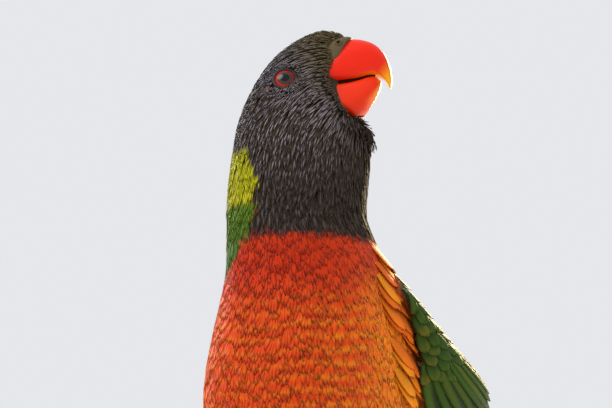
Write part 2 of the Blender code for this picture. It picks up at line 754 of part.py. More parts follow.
def main():
    for stale in list(bpy.data.objects):
        bpy.data.objects.remove(stale)
    materials = {
        "head": make_material("plumage_head", (0.045, 0.035, 0.05), 0.7),
        "orange": make_material("plumage_breast", (0.75, 0.13, 0.01), 0.7),
        "green": make_material("plumage_green", (0.06, 0.14, 0.02), 0.6),
        "bill": make_material("bill_horn", (0.85, 0.09, 0.02), 0.35),
        "eye": make_material("eye", (0.35, 0.02, 0.01), 0.1),
        "foot": make_material("foot_skin", (0.16, 0.15, 0.15), 0.7),
        "claw": make_material("claw_horn", (0.03, 0.03, 0.03), 0.4),
    }
    bill = make_bill(materials["bill"])
    eyes = make_eyes(materials["eye"])
    head = make_head(materials["head"], bill, eyes)
    neck = make_neck(materials["head"])
    draw = random.Random(7)
    wing, wing_room = make_wing(materials["green"], draw)
    tail, tail_room = make_tail(materials["green"], draw)
    thigh, foot, claws = make_leg(materials)
    wing_right = mirrored(wing, "wing_right")
    thigh_right = mirrored(thigh, "thigh_right")
    foot_right = mirrored(foot, "foot_right")
    claws_right = [mirrored(claw, claw.name.replace("left", "right")) for claw in claws]
    cutters = [swollen(piece, CUT_GAP) for piece in (thigh, thigh_right)]
    cutters += [wing_room, mirrored(wing_room, "wing_room_right"), tail_room]
    torso = make_torso(materials["orange"], cutters)
    set_down(
        bill + eyes + [head, neck, torso, wing, wing_right, tail]
        + [thigh, thigh_right, foot, foot_right] + claws + claws_right
    )


main()
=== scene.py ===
"""Looks of a life-size rainbow lorikeet: skin, feathers, bill, eyes, feet and studio.

Shapes are worked out in millimetres in the bird's own frame, where the neck rises from
x = y = 0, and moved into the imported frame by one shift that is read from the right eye.
"""
import math

import bmesh
import bpy
import numpy as np
from mathutils import Matrix, Vector
from mathutils.kdtree import KDTree


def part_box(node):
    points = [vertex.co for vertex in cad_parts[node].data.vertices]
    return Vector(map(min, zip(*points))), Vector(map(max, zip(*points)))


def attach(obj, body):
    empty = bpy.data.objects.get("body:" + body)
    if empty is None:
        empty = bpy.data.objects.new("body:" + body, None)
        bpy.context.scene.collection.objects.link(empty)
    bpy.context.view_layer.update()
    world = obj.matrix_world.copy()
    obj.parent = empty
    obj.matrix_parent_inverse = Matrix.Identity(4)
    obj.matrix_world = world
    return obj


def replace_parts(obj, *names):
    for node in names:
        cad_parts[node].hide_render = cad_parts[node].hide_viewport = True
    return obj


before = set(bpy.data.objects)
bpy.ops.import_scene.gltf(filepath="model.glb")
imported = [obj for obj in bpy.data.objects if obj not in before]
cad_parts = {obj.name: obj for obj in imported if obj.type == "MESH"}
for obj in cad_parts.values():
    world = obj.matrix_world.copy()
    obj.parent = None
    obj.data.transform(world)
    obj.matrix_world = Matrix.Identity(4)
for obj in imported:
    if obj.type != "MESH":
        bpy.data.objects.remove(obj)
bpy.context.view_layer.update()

MM = 0.001
SEED = 11
MIRROR = np.array([-1.0, 1.0, 1.0])

# The left side is built, and the right one is its mirror image.
SIDES = (("left", False), ("right", True))

# The same driving sizes as the solids.
EYE_HEIGHT = 182.0
EYE_AHEAD = -5.2
HEAD_BEARING = 22.0
HEAD_TURN = math.radians(HEAD_BEARING)
CROWN_ROLL = math.radians(9)
ROLL_START = 125.0
ROLL_LENGTH = 40.0
HEAD_STATIONS = [
    (24.6, 16.0, 29.0, -13.6, 4.8),
    (20.8, 19.2, 30.6, -16.6, 6.6),
    (14.2, 20.3, 31.8, -19.0, 9.2),
    (5.8, 17.0, 32.8, -21.5, 12.2),
    (-3.4, 9.9, 33.3, -24.5, 15.4),
    (-10.8, -0.8, 33.4, -29.5, 18.2),
    (-16.9, -15.6, 33.0, -35.5, 21.0),
    (-19.2, -28.5, 32.4, -42.0, 23.2),
    (-20.8, -42.0, 32.0, -48.0, 24.8),
    (-21.5, -54.0, 32.0, -54.0, 26.2),
]
NECK_SHARE = 6 / 9
HEAD_SQUARENESS = 2.4
TORSO_STATIONS = [
    (-26.5, 127.7, 26.7, 127.7, 26.4),
    (-24.9, 117.0, 32.5, 120.0, 28.0),
    (-23.4, 106.5, 38.5, 111.0, 29.8),
    (-25.4, 95.0, 44.5, 101.5, 32.0),
    (-29.0, 82.0, 50.5, 91.0, 34.6),
    (-32.8, 69.0, 56.0, 80.0, 36.3),
    (-34.4, 55.0, 61.0, 69.0, 37.0),
    (-30.8, 41.5, 66.0, 58.5, 36.4),
    (-21.0, 31.0, 70.5, 50.0, 34.0),
    (-4.0, 25.5, 74.5, 43.5, 29.5),
    (18.0, 23.5, 77.5, 39.0, 24.0),
    (40.0, 22.0, 79.5, 36.0, 18.0),
    (60.0, 21.0, 81.0, 33.5, 12.5),
]
TORSO_SQUARENESS = 2.25
UPPER_BILL = [
    (21.0, 13.6, 14.5, -2.4, 8.3),
    (25.6, 15.9, 18.6, -2.2, 8.4),
    (29.8, 15.8, 23.2, -1.7, 8.0),
    (34.0, 14.4, 28.2, -0.6, 7.1),
    (37.3, 11.7, 32.4, 1.0, 5.9),
    (39.5, 8.2, 35.3, 1.6, 4.5),
    (40.8, 4.2, 37.5, 0.8, 3.1),
    (41.3, 0.0, 39.2, -0.8, 1.8),
    (41.0, -3.8, 40.6, -3.6, 0.4),
]
LOWER_BILL = [
    (24.0, -14.6, 16.0, -3.0, 7.6),
    (28.2, -15.6, 20.0, -2.8, 7.6),
    (31.4, -13.0, 24.2, -2.2, 6.8),
    (34.0, -9.0, 28.6, -1.1, 5.7),
    (36.0, -5.4, 32.4, 0.4, 4.3),
    (37.0, -2.8, 34.8, 0.9, 2.6),
    (37.3, -0.9, 36.3, 0.2, 0.8),
]
BILL_SQUARENESS = 2.3
CUTTING_SQUARENESS = 4.5
WING_LOWER = [
    (35.5, 22, 100), (38.5, 27, 76), (39, 34, 52), (36, 56, 36), (27, 88, 29), (15.2, 122, 20.8),
]
WING_MIDDLE = [
    (30.5, 22, 108), (43.5, 37, 85), (47.5, 62, 66), (40, 84, 48), (27, 104, 34), (14.6, 123, 22.8),
]
WING_UPPER = [
    (22, 30, 116), (18, 47, 98), (15, 68, 76), (10, 86, 57), (8.5, 105, 40), (12.6, 124, 24.4),
]
WING_DEPTH = [(8.0,), (13.0,), (16.0,), (10.0,), (4.5,), (2.0,)]
WING_FLESH = 0.8
TAIL_ROOT_Y = 62.0
TAIL_ROOT_Z = 31.0
TAIL_TIP_Y = 187.0
TAIL_FLOOR_Y = 174.0
RECTRIX_ROOT_Y = 77.0
RECTRIX_HALF_WIDTH = 6.3
RECTRIX_TIPS = [(4.4, 1.0), (9.0, 0.93), (12.6, 0.84), (15.2, 0.74), (17.0, 0.64), (18.0, 0.53)]
RECTRIX_ROOT_STEP = 1.5
RECTRIX_LAYER = 1.1
TAIL_ARCH = 0.006
TAIL_REST_HEIGHT = 0.6
TAIL_ROOT_DEPTH = 8.2
THIGH_PATH = [(14.5, 10, 42), (15.0, 18, 33), (15.5, 26, 23.5), (15.5, 30, 17.5)]
THIGH_RADII = [9.0, 9.5, 6.6, 3.6]
TARSUS_PATH = [(15.5, 30.2, 17.0), (15.6, 28.5, 12.5), (15.9, 25.5, 7.0), (16.0, 23.5, 3.2)]
TARSUS_RADII = [2.7, 2.4, 2.5, 3.2]
TOE_ROOT = (16.0, 23.0, 2.4)
TOES = {
    "inner_front": (-102, 13.0, 2.5, 1.9),
    "outer_front": (-72, 19.0, 2.6, 1.9),
    "outer_back": (62, 16.0, 2.5, 1.8),
    "inner_back": (112, 9.5, 2.3, 1.7),
}
TOE_FLAT = 0.5
LIMB_TWIST = (0.31, 0.17, 0.94)
CLAW_LENGTH = 7.0
CLAW_ARCH = 0.9
CLAW_TIP_HEIGHT = 0.75
EYE_PLACE = (1.9, -4.1)
EYE_SIZE = (5.0, 5.0, 3.6)
EYE_DEPTH = 11.6
EYE_LOOK = (0.08, 0.22, 1.0)
LID_RADIUS = 4.4

# Radii where the pupil ends, the red iris starts and the dark rim starts.
INNER_IRIS_EDGE = (1.55, 1.95)
RED_IRIS_EDGE = (2.88, 3.10)
EYE_RIM = (3.6, 3.95)

# Where the nostrils are: along the cere and round it.
NOSTRIL_PLACE = 0.42
NOSTRIL_ANGLE = math.radians(72)

# The mouth's inside, near black as a painted shade of the gap between the bill's halves, and the
# bare skin at the bill's base.
MOUTH = [
    (18.2, -1.4, 17.6, -4.0, 6.2),
    (24.2, -0.8, 23.6, -3.4, 5.8),
    (28.6, 0.2, 28.2, -2.2, 4.6),
    (32.6, 1.8, 32.2, -0.6, 3.2),
    (35.0, 2.0, 34.8, 0.2, 1.8),
]
CERE = [
    (19.6, 15.6, 14.6, 3.0, 8.2),
    (22.8, 16.7, 17.0, 3.0, 9.0),
    (25.0, 16.9, 18.8, 3.2, 9.1),
    (26.2, 16.5, 20.0, 3.6, 8.8),
]

# Side outline of the bare bill and cere, as (ahead, up); no feather starts inside it.
BILL_BASE = [
    (25.8, 18.6), (25.0, 15.6), (23.2, 11.1), (21.6, 7.6), (20.6, 4.3), (20.0, 0.8), (21.0, -2.2),
    (24.0, -6.9), (26.6, -11.5), (28.5, -14.0), (45.0, -14.0), (45.0, 18.6),
]
BASE_LINE = np.array(BILL_BASE[:10][::-1])
BILL_DIP = 2.3
BILL_DIP_REACH = 6.0

# Depth of the skin under the outer face of the coat.
SKIN_DEPTH = 1.7
FACE_DEPTH = 1.6

# The skin's mesh, in metres: its cells, and where it gets a painted shade as the flesh under the
# wings and thighs, by its distance from the coat and its height.
SKIN_CELL = 0.0013
WING_GAP_SHADE_REACH = (0.0026, 0.0040)
WING_GAP_SHADE_TOP = 0.120

# Lowest height of a feather over the floor.
LEAST_HEIGHT = 0.2

# Camera: the eye's pixel, pixels to the millimetre, and where the camera stands.
PHOTO_WIDTH = 612
PHOTO_HEIGHT = 408
EYE_PIXEL = (284, 79)
PIXELS_PER_MM = 2.7
CAMERA_TURN = math.radians(30)
CAMERA_TILT = math.radians(-8)
CAMERA_DISTANCE = 750.0
SENSOR_WIDTH = 36.0


# Small maths on arrays

def mix(first, last, part):
    return first + (last - first) * part


def ramp(value, start, end):
    """A smooth step from 0 at start to 1 at end."""
    part = np.clip((value - start) / (end - start), 0.0, 1.0)
    return part * part * (3.0 - 2.0 * part)


def blend(first, last, part):
    """Mix colours by an array of shares."""
    part = np.asarray(part)[..., None]
    return np.asarray(first) * (1.0 - part) + np.asarray(last) * part


def unit(vectors):
    return vectors / np.maximum(np.linalg.norm(vectors, axis=-1, keepdims=True), 1e-9)


def circle(count):
    """Angles evenly round a circle."""
    return np.linspace(0, math.tau, count, endpoint=False)


def rounded(angle, squareness):
    """Cosine and sine on an ellipse that bulges towards its box."""
    power = 2.0 / squareness
    cosine = np.sign(np.cos(angle)) * np.abs(np.cos(angle)) ** power
    sine = np.sign(np.sin(angle)) * np.abs(np.sin(angle)) ** power
    return cosine, sine


def along(stations, place):
    """Smooth values between stations; place runs from 0 to 1."""
    stations = np.asarray(stations, float)
    last = len(stations) - 1
    reach = np.clip(place, 0.0, 1.0) * last
    first = np.minimum(reach.astype(int), last - 1)
    part = (reach - first)[..., None]
    before, here, after, beyond = (stations[np.clip(first + step, 0, last)] for step in (-1, 0, 1, 2))
    return 0.5 * (
        before * (-part + 2.0 * part**2 - part**3)
        + here * (2.0 - 5.0 * part**2 + 3.0 * part**3)
        + after * (part + 4.0 * part**2 - 3.0 * part**3)
        + beyond * (part**3 - part**2)
    )


# The bird's forms as surfaces

FORWARD = np.array([math.cos(HEAD_TURN), math.sin(HEAD_TURN), 0.0])
RIGHT = np.array([math.sin(HEAD_TURN), -math.cos(HEAD_TURN), 0.0])
UP = np.array([0.0, 0.0, 1.0])


def head_point(ahead, up, aside):
    """Points of the head or neck; aside is positive towards the bird's right."""
    ahead, up, aside = (np.asarray(value, float)[..., None] for value in (ahead, up, aside))
    height = EYE_HEIGHT + up
    rise = np.maximum(height - ROLL_START, 0.0)
    roll = CROWN_ROLL * ramp(rise, 0.0, ROLL_LENGTH)
    lean = np.where(rise < ROLL_LENGTH, rise**2 / (2.0 * ROLL_LENGTH), rise - ROLL_LENGTH / 2.0)
    point = FORWARD * (ahead + EYE_AHEAD) + UP * height - RIGHT * lean * math.sin(CROWN_ROLL)
    return point + aside * (RIGHT * np.cos(roll) + UP * np.sin(roll))


def head_axes():
    """Forward, right and up of the rolled head."""
    origin = head_point(0.0, 0.0, 0.0)
    forward = unit(head_point(1.0, 0.0, 0.0) - origin)
    right = unit(head_point(0.0, 0.0, 1.0) - origin)
    return forward, right, np.cross(right, forward)


def between_ends(rows, column, cosine):
    """One coordinate round rings that stand between their stations' two ends."""
    first, last = rows[..., column], rows[..., column + 2]
    return (first + last) / 2.0 + (first - last) / 2.0 * cosine


def profile_point(stations, place, angle, squareness):
    """Points of a form whose rings stand on profile stations of the head."""
    rows = along(stations, place)
    cosine, sine = rounded(angle, squareness)
    return head_point(between_ends(rows, 0, cosine), between_ends(rows, 1, cosine), rows[..., 4] * sine)


def profile_place(point):
    """How far points lie ahead of the eye and above it."""
    return point @ FORWARD - EYE_AHEAD, point[..., 2] - EYE_HEIGHT


def body_point(place, bearing):
    """The coat's outer face: place 0 to 1 down the head and neck, 1 to 2 down the torso.

    The bearing is the angle from +X round +Z, in radians.
    """
    place, bearing = np.broadcast_arrays(np.asarray(place, float), np.asarray(bearing, float))
    down_neck = np.clip((place - NECK_SHARE) / (1 - NECK_SHARE), 0, 1)
    squareness = mix(HEAD_SQUARENESS, 2.0, down_neck)
    head = profile_point(HEAD_STATIONS, place, bearing - HEAD_TURN - math.pi, squareness)
    rows = along(TORSO_STATIONS, place - 1.0)
    squareness = mix(2.0, TORSO_SQUARENESS, ramp(place - 1.0, 0.0, 0.25))
    cosine, sine = rounded(math.pi / 2 - bearing, squareness)
    y, z = between_ends(rows, 0, -cosine), between_ends(rows, 1, -cosine)
    torso = np.stack([rows[..., 4] * sine, y, z], axis=-1)
    return np.where(place[..., None] < 1.0, head, torso)


def bill_dip(place, bearing):
    """How much lower the coat lies close to the bill's base."""
    ahead, up = profile_place(body_point(np.clip(place, 0.0, 2.0), bearing))
    base = np.interp(up, BASE_LINE[:, 1], BASE_LINE[:, 0])
    near = ramp(ahead - base, -BILL_DIP_REACH, 0.5)
    return BILL_DIP * near * ramp(up, -20.0, -15.0) * (1.0 - 0.8 * ramp(up, 1.0, 8.0))


def wing_point(place, across):
    """The left wing's outer face, from wrist to tip and from lower to upper edge."""
    place, across = np.broadcast_arrays(np.asarray(place, float), np.asarray(across, float))
    lower = along(WING_LOWER, place)
    middle = along(WING_MIDDLE, place)
    upper = along(WING_UPPER, place)
    control = 2.0 * middle - (lower + upper) / 2.0
    across = across[..., None]
    return lower * (1 - across) ** 2 + control * 2.0 * across * (1 - across) + upper * across**2


def tail_point(y, x):
    """The upper face of the tail, which slopes down to the floor and arches across."""
    y, x = np.broadcast_arrays(np.asarray(y, float), np.asarray(x, float))
    slope = np.minimum((y - TAIL_ROOT_Y) / (TAIL_FLOOR_Y - TAIL_ROOT_Y), 1.0)
    height = TAIL_ROOT_Z * (1.0 - slope) + TAIL_REST_HEIGHT * slope
    return np.stack([x, y, height - TAIL_ARCH * x * x], axis=-1)


def tail_under_point(y, x):
    """The under face of the tail's root, which arches the other way."""
    point = tail_point(y, x)
    point[..., 2] -= TAIL_ROOT_DEPTH
    point[..., 2] += 2 * TAIL_ARCH * np.asarray(x, float) ** 2
    return point


class Sheet:
    """A surface with two coordinates, its outward direction and its scale in millimetres."""

    def __init__(self, point, step, ends=(0.0, 1.0), outward=1.0):
        self.point = point
        self.step = step
        self.ends = ends
        self.outward = outward

    def slopes(self, first, second):
        """Change of the point along each coordinate; past the ends it's that of the end."""
        step = self.step
        first = np.clip(first, *self.ends)
        low = np.clip(first - step, *self.ends)
        high = np.clip(first + step, *self.ends)
        down = (self.point(high, second) - self.point(low, second)) / (high - low)[..., None]
        over = (self.point(first, second + step) - self.point(first, second - step)) / (2 * step)
        return down, over

    def girth(self, first, second):
        """Millimetres to one unit of the second coordinate."""
        return np.linalg.norm(self.slopes(first, second)[1], axis=-1)

    def place(self, first, second, height):
        """Points at a height over the surface; past its end they run straight on."""
        inside = np.clip(first, *self.ends)
        down, over = self.slopes(inside, second)
        normal = self.outward * unit(np.cross(down, over))
        beyond = (first - inside)[..., None] * down
        return self.point(inside, second) + beyond + normal * height[..., None]


BODY = Sheet(body_point, 0.004, ends=(0.0, 2.0))
WING = Sheet(wing_point, 0.01, ends=(0.0, 0.985))
TAIL = Sheet(tail_point, 0.5, ends=(TAIL_ROOT_Y, TAIL_TIP_Y), outward=-1.0)
TAIL_UNDER = Sheet(tail_under_point, 0.5, ends=(TAIL_ROOT_Y, TAIL_TIP_Y))


# From shapes to pieces

def centre_of(node):
    low, high = (np.array(corner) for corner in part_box(node))
    return (low + high) / 2.0 / MM


SHIFT = head_point(*EYE_PLACE, EYE_DEPTH) - centre_of("eye_right")


def to_frame(points):
    """Millimetres of the bird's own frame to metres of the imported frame."""
    return (points - SHIFT) * MM


def new_object(name, data):
    made = bpy.data.objects.new(name, data)
    bpy.context.scene.collection.objects.link(made)
    return made


def make_piece(name, points, faces, material):
    """A mesh piece of four-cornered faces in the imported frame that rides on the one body."""
    mesh = bpy.data.meshes.new(name)
    mesh.vertices.add(len(points))
    mesh.vertices.foreach_set("co", to_frame(points).astype(np.float32).ravel())
    mesh.loops.add(faces.size)
    mesh.loops.foreach_set("vertex_index", faces.astype(np.int32).ravel())
    mesh.polygons.add(len(faces))
    mesh.polygons.foreach_set("loop_start", np.arange(0, faces.size, 4, dtype=np.int32))
    mesh.polygons.foreach_set("use_smooth", np.full(len(faces), True))
    mesh.update(calc_edges=True)
    mesh.materials.append(material)
    piece = new_object(name, mesh)
    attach(piece, "root")
    return piece


def paint(piece, name, colours):
    """Keep one colour a vertex in a named attribute."""
    layer = piece.data.color_attributes.new(name, "FLOAT_COLOR", "POINT")
    rgba = np.concatenate([colours, np.ones((len(colours), 1))], axis=1)
    layer.data.foreach_set("color", rgba.astype(np.float32).ravel())


def unwrap(piece, name, places):
    """Keep one flat place a vertex in a named map."""
    corners = np.empty(len(piece.data.loops), dtype=np.int32)
    piece.data.loops.foreach_get("vertex_index", corners)
    layer = piece.data.uv_layers.new(name=name)
    layer.data.foreach_set("uv", places[corners].astype(np.float32).ravel())


# Feathers

# Size of a feather's patch on the bake map.
BAKE_PATCH = 0.003

# Blades of a feather: their width, how far they fan out at root and tip, how much
# shorter and lower the outer ones are, and how far they stray in length.
BLADE_SHARE = 2.0
FAN_ROOT = 0.45
FAN_TIP = 0.85
FAN_SHORTER = 0.24
FAN_DROOP = 0.35
FAN_STRAY = 0.05

# Least millimetres to a radian or to a wing's width, so that no feather gets too wide.
LEAST_GIRTH = 2.0

# How far feathers stray from their rows and columns, as shares of the spacing.
ROW_STRAY = 0.33
COLUMN_STRAY = 0.16


def vane_grid(rows, columns):
    """Cells of one blade: an upper and a lower face that share their rim."""
    upper = np.arange(rows * columns).reshape(rows, columns)
    lower = upper.copy()
    inner = rows * columns + np.arange((rows - 2) * (columns - 2)).reshape(rows - 2, columns - 2)
    lower[1:-1, 1:-1] = inner
    cells = []
    for row in range(rows - 1):
        for column in range(columns - 1):
            top = upper[row:row + 2, column:column + 2]
            low = lower[row:row + 2, column:column + 2]
            cells.append((top[0, 0], top[1, 0], top[1, 1], top[0, 1]))
            cells.append((low[0, 0], low[0, 1], low[1, 1], low[1, 0]))
    return np.array(cells)


def outline(part, root, widest, tip):
    """Half width along a blade as a share of the widest."""
    rise = root + (1.0 - root) * np.sin(np.pi / 2 * np.minimum(part / widest, 1.0))
    fall = np.clip((part - widest) / (1.0 - widest), 0.0, 1.0)
    return rise * (tip + (1.0 - tip) * np.sqrt(np.maximum(1.0 - fall**2.2, 0.0)))


def fanned(sheet, root, tip, half_width, barbs, draw):
    """Split each feather into narrow blades that fan out from its root."""
    if barbs == 1:
        return root, tip, half_width, np.zeros((len(root), 1)), np.ones((len(root), 1))
    spread = np.linspace(-1.0, 1.0, barbs)[None, :]
    reach = 1.0 - FAN_SHORTER * spread**2 + draw.normal(0.0, FAN_STRAY, (len(root), barbs))
    ends = []
    for end, part, share in ((root, 0.0 * reach, FAN_ROOT), (tip, reach, FAN_TIP)):
        girth = np.maximum(sheet.girth(end[:, 0], end[:, 1]), LEAST_GIRTH)[:, None]
        first = mix(root[:, :1], tip[:, :1], part)
        second = mix(root[:, 1:], tip[:, 1:], part) + spread * share * half_width[:, None] / girth
        ends.append(np.stack([first, second], axis=-1).reshape(-1, 2))
    widths = np.repeat(half_width * BLADE_SHARE / barbs, barbs)
    return ends[0], ends[1], widths, spread + 0.0 * reach, reach


def grow(sheet, root, tip, half_width, style, draw):
    """Feathers from root to tip places on a sheet, as points and places on the vane."""
    rows, columns, barbs = style["rows"], style["columns"], style["barbs"]
    feathers = len(root)
    low = style["low"] + draw.normal(0, style["uneven"], feathers)
    high = style["high"] + draw.normal(0, style["uneven"], feathers)
    low, high = np.repeat(low, barbs), np.repeat(high, barbs)
    root, tip, half_width, spread, reach = fanned(sheet, root, tip, half_width, barbs, draw)
    high = high - FAN_DROOP * spread.ravel() ** 2 * style["cup"]
    part = np.linspace(0.0, 1.0, rows)[None, :, None]
    aside = np.linspace(-1.0, 1.0, columns)[None, None, :]
    count = len(root)
    ragged = draw.normal(0.0, style["ragged"], (count, 1, columns)) * part**6
    shape = outline(part, *style["outline"])
    first = mix(root[:, 0, None, None], tip[:, 0, None, None], part * (1.0 + ragged))
    middle = mix(root[:, 1, None, None], tip[:, 1, None, None], part + 0.0 * aside)
    girth = np.maximum(sheet.girth(first, middle), style["least_girth"])
    second = middle + aside * shape * half_width[:, None, None] / girth
    height = mix(low[:, None, None], high[:, None, None], part) - aside * style["tilt"] * shape
    height = height - style["cup"] * aside**2 * part * (barbs == 1)
    body = style["thickness"] * (1.0 - aside**2) * np.sin(np.pi * np.clip(part, 0.02, 0.98)) ** 0.5
    body = body + 0.0 * height
    top = sheet.place(first, second, height + body)
    inner = (slice(None), slice(1, -1), slice(1, -1))
    under = sheet.place(first[inner], second[inner], (height - body)[inner])
    points = np.concatenate([top.reshape(count, -1, 3), under.reshape(count, -1, 3)], axis=1)
    points = points.reshape(feathers, -1, 3)
    share = 1.0 if barbs == 1 else BLADE_SHARE / barbs
    across = 0.5 + 0.5 * (FAN_TIP * spread.reshape(-1, 1, 1) + share * aside + 0.0 * part)
    down = part * reach.reshape(-1, 1, 1) + 0.0 * aside
    flat = np.stack([across, down], axis=-1)
    flat = np.concatenate([flat.reshape(count, -1, 2), flat[inner].reshape(count, -1, 2)], axis=1)
    flat = flat.reshape(feathers, -1, 2)
    cells = vane_grid(rows, columns)
    blade = rows * columns + (rows - 2) * (columns - 2)
    cells = (cells[None] + (np.arange(barbs) * blade)[:, None, None]).reshape(-1, 4)
    return points, np.clip(flat, 0.0, 1.0), cells


def make_coat(name, grown, root_places, colours, material, mirror=False):
    """Join feathers into one piece; colours are tint, accent and marks of every point."""
    points, flat, cells = grown
    count, size = points.shape[:2]
    faces = (cells[None] + (np.arange(count) * size)[:, None, None]).reshape(-1, 4)
    points = points.reshape(-1, 3)
    if mirror:
        points = points * MIRROR
        faces = faces[:, ::-1]
    points[:, 2] = np.maximum(points[:, 2], LEAST_HEIGHT)
    piece = make_piece(name, points, faces, material)
    for layer, values in zip(("Tint", "Accent", "Marks"), colours):
        paint(piece, layer, values.reshape(-1, 3))
    patch = root_places[:, None, :] + (flat - 0.5) * BAKE_PATCH
    unwrap(piece, "OFBake", patch.reshape(-1, 2))
    unwrap(piece, "Vane", flat.reshape(-1, 2))
    return piece


def staggered(sheet, ends, pitches, span, draw):
    """Roots of feathers in staggered rows; the pitches of rows and columns are in millimetres."""
    roots = []
    place = ends[0]
    shift = 0.0
    line = np.linspace(*span, 91)
    while place < ends[1]:
        row_pitch, column_pitch = pitches(place)
        down, over = sheet.slopes(np.full(len(line), place), line)
        girth = np.linalg.norm(over, axis=1)
        steps = (girth[1:] + girth[:-1]) / 2.0 * np.diff(line)
        run = np.concatenate([[0.0], np.cumsum(steps)])
        count = max(int(run[-1] / column_pitch), 3)
        marks = (np.arange(count) + 0.25 + shift) / count * run[-1]
        second = np.interp(marks, run, line)
        slopes = np.linalg.norm(down, axis=1)
        slope = 0.9 * np.max(slopes)
        second = second + draw.normal(0, COLUMN_STRAY * column_pitch / np.mean(girth), count)
        first = place + draw.normal(0, ROW_STRAY * row_pitch / slope, count)
        kept = draw.random(count) < np.interp(second, line, slopes) / slope
        roots.append(np.stack([first, second], axis=1)[kept])
        place += row_pitch / slope
        shift = 0.5 - shift
    return np.concatenate(roots)


def steady(pitches):
    """Pitches that are the same at every place."""
    return lambda place: pitches


def reach_down(sheet, root, length, draw, stray=0.10, sweep=0.0):
    """Where feathers end: down the sheet, turned by the sweep and a little astray."""
    down, over = sheet.slopes(root[:, 0], root[:, 1])
    astray = sweep + draw.normal(0, stray, len(root))
    first = length * np.cos(astray) / np.maximum(np.linalg.norm(down, axis=1), 1e-3)
    second = length * np.sin(astray) / np.maximum(np.linalg.norm(over, axis=1), LEAST_GIRTH)
    step = np.stack([first, second], axis=1)
    level = np.zeros(len(root))
    start = sheet.place(root[:, 0], root[:, 1], level)
    for _ in range(2):
        end = root + step
        run = np.linalg.norm(sheet.place(end[:, 0], end[:, 1], level) - start, axis=1)
        step = step * np.clip(length / np.maximum(run, 1e-3), 0.4, 2.5)[:, None]
    return root + step


# Markings, as linear colours

DARK = (0.064, 0.040, 0.022)
DARK_BROWN = (0.042, 0.025, 0.013)
OLIVE_BROWN = (0.135, 0.086, 0.026)
LILAC = (0.31, 0.275, 0.32)
BLUE_GREY = (0.22, 0.23, 0.31)
COLLAR = (0.62, 0.60, 0.000)
GREEN = (0.035, 0.12, 0.004)
LIGHT_GREEN = (0.12, 0.24, 0.006)
DEEP_GREEN = (0.012, 0.045, 0.004)
RED = (0.46, 0.018, 0.000)
RED_ORANGE = (0.72, 0.055, 0.000)
ORANGE = (0.95, 0.21, 0.000)
YELLOW = (0.92, 0.42, 0.004)
PINK = (0.85, 0.25, 0.12)
VIOLET = (0.020, 0.022, 0.20)
OLIVE_YELLOW = (0.38, 0.34, 0.05)
BLACK = (0.012, 0.010, 0.012)
WING_GREEN = (0.032, 0.080, 0.006)
WING_OLIVE = (0.085, 0.115, 0.008)
TAIL_GREEN = (0.035, 0.14, 0.015)
YELLOW_GREEN = (0.30, 0.38, 0.02)
ORANGE_YELLOW = (0.80, 0.30, 0.01)
SHAFT_DARK = (0.010, 0.018, 0.008)
# Near-black green: painted shade for the skin in the gap under the wings.
WING_GAP_SHADE = (0.014, 0.016, 0.006)
BILL_RED = (0.86, 0.016, 0.000)
BILL_YELLOW = (0.95, 0.42, 0.000)
IRIS = (0.62, 0.010, 0.003)
PUPIL = (0.003, 0.003, 0.004)
INNER_IRIS = (0.050, 0.036, 0.030)
LID_GREY = (0.030, 0.028, 0.030)
FOOT_GREY = (0.10, 0.095, 0.09)
CLAW_BLACK = (0.018, 0.016, 0.015)
# Near black: painted shade in the gap between the bill's halves and in the nostrils.
PAINTED_GAP_SHADE = (0.020, 0.006, 0.004)
CERE_OLIVE = (0.100, 0.066, 0.022)

# Where the nape's colours end on the bird's right and left: heights and bearings.
EDGE_HEIGHTS = [60, 84, 92, 98, 104, 110, 115, 118, 126, 131, 133.5, 136, 139, 146, 150, 154, 158]
RIGHT_EDGE = [130, 140, 168, 195, 216, 237, 247, 254, 262, 266, 258, 264, 268, 260, 254, 250, 240]
LEFT_EDGE = [50, 49, 48, 46, 44, 42, 42, 44, 50, 58, 70, 66, 62, 72, 84, 100, 130]
CHEEK_SPOT = (-3.7, -6.5, 14.2)
BAR_SPACING = 5.0
COLLAR_TOP = 152.5
COLLAR_BASE = 131.0
HEAD_BASE = 119.0
FRONT_BEARING = -90.0

# Where markings fade out or in: places down the head or torso, degrees, heights.
LORE_END = (0.16, 0.55)
LORE_SIDE = (20, 80)
THROAT_HEIGHTS = (132, 160)
BELLY_START = (0.50, 0.56)
BELLY_END = (0.74, 0.80)
VENT_START = (0.76, 0.82)


def turned_from(bearing, middle):
    """Degrees between bearings and a middle one, from 0 to 180."""
    return np.abs((np.degrees(bearing) - middle + 180.0) % 360.0 - 180.0)


def nape_share(point, z, turn):
    """1 on the nape and back, 0 on the face and breast."""
    girth = np.hypot(point[..., 0], point[..., 1])
    right = np.interp(z, EDGE_HEIGHTS, RIGHT_EDGE) - turn
    left = turn - np.interp(z, EDGE_HEIGHTS, LEFT_EDGE)
    return ramp(np.radians(np.minimum(right, left)) * girth, -0.8, 0.8)


def head_marks(point, place, bearing, z):
    """Colours of the head and neck, of their streaks, and the streaks' strength."""
    turn = turned_from(bearing, HEAD_BEARING)
    lore = (1.0 - ramp(place, *LORE_END)) * ramp(turn, *LORE_SIDE)
    throat = 1.0 - ramp(z, *THROAT_HEIGHTS)
    head = blend(blend(DARK, DARK_BROWN, throat), OLIVE_BROWN, lore * 0.9)
    spot = np.linalg.norm(point - head_point(*CHEEK_SPOT), axis=-1)
    head = blend(PINK, head, ramp(spot, 0.7, 1.5))
    streak = blend(blend(LILAC, BLUE_GREY, ramp(turn, 90, 170)), OLIVE_YELLOW, lore * 0.5)
    streaks = mix(0.20, 0.95, 1 - throat) * mix(0.25, 1.0, ramp(turn, 15, 85)) * (1 - 0.7 * lore)
    return head, streak, streaks


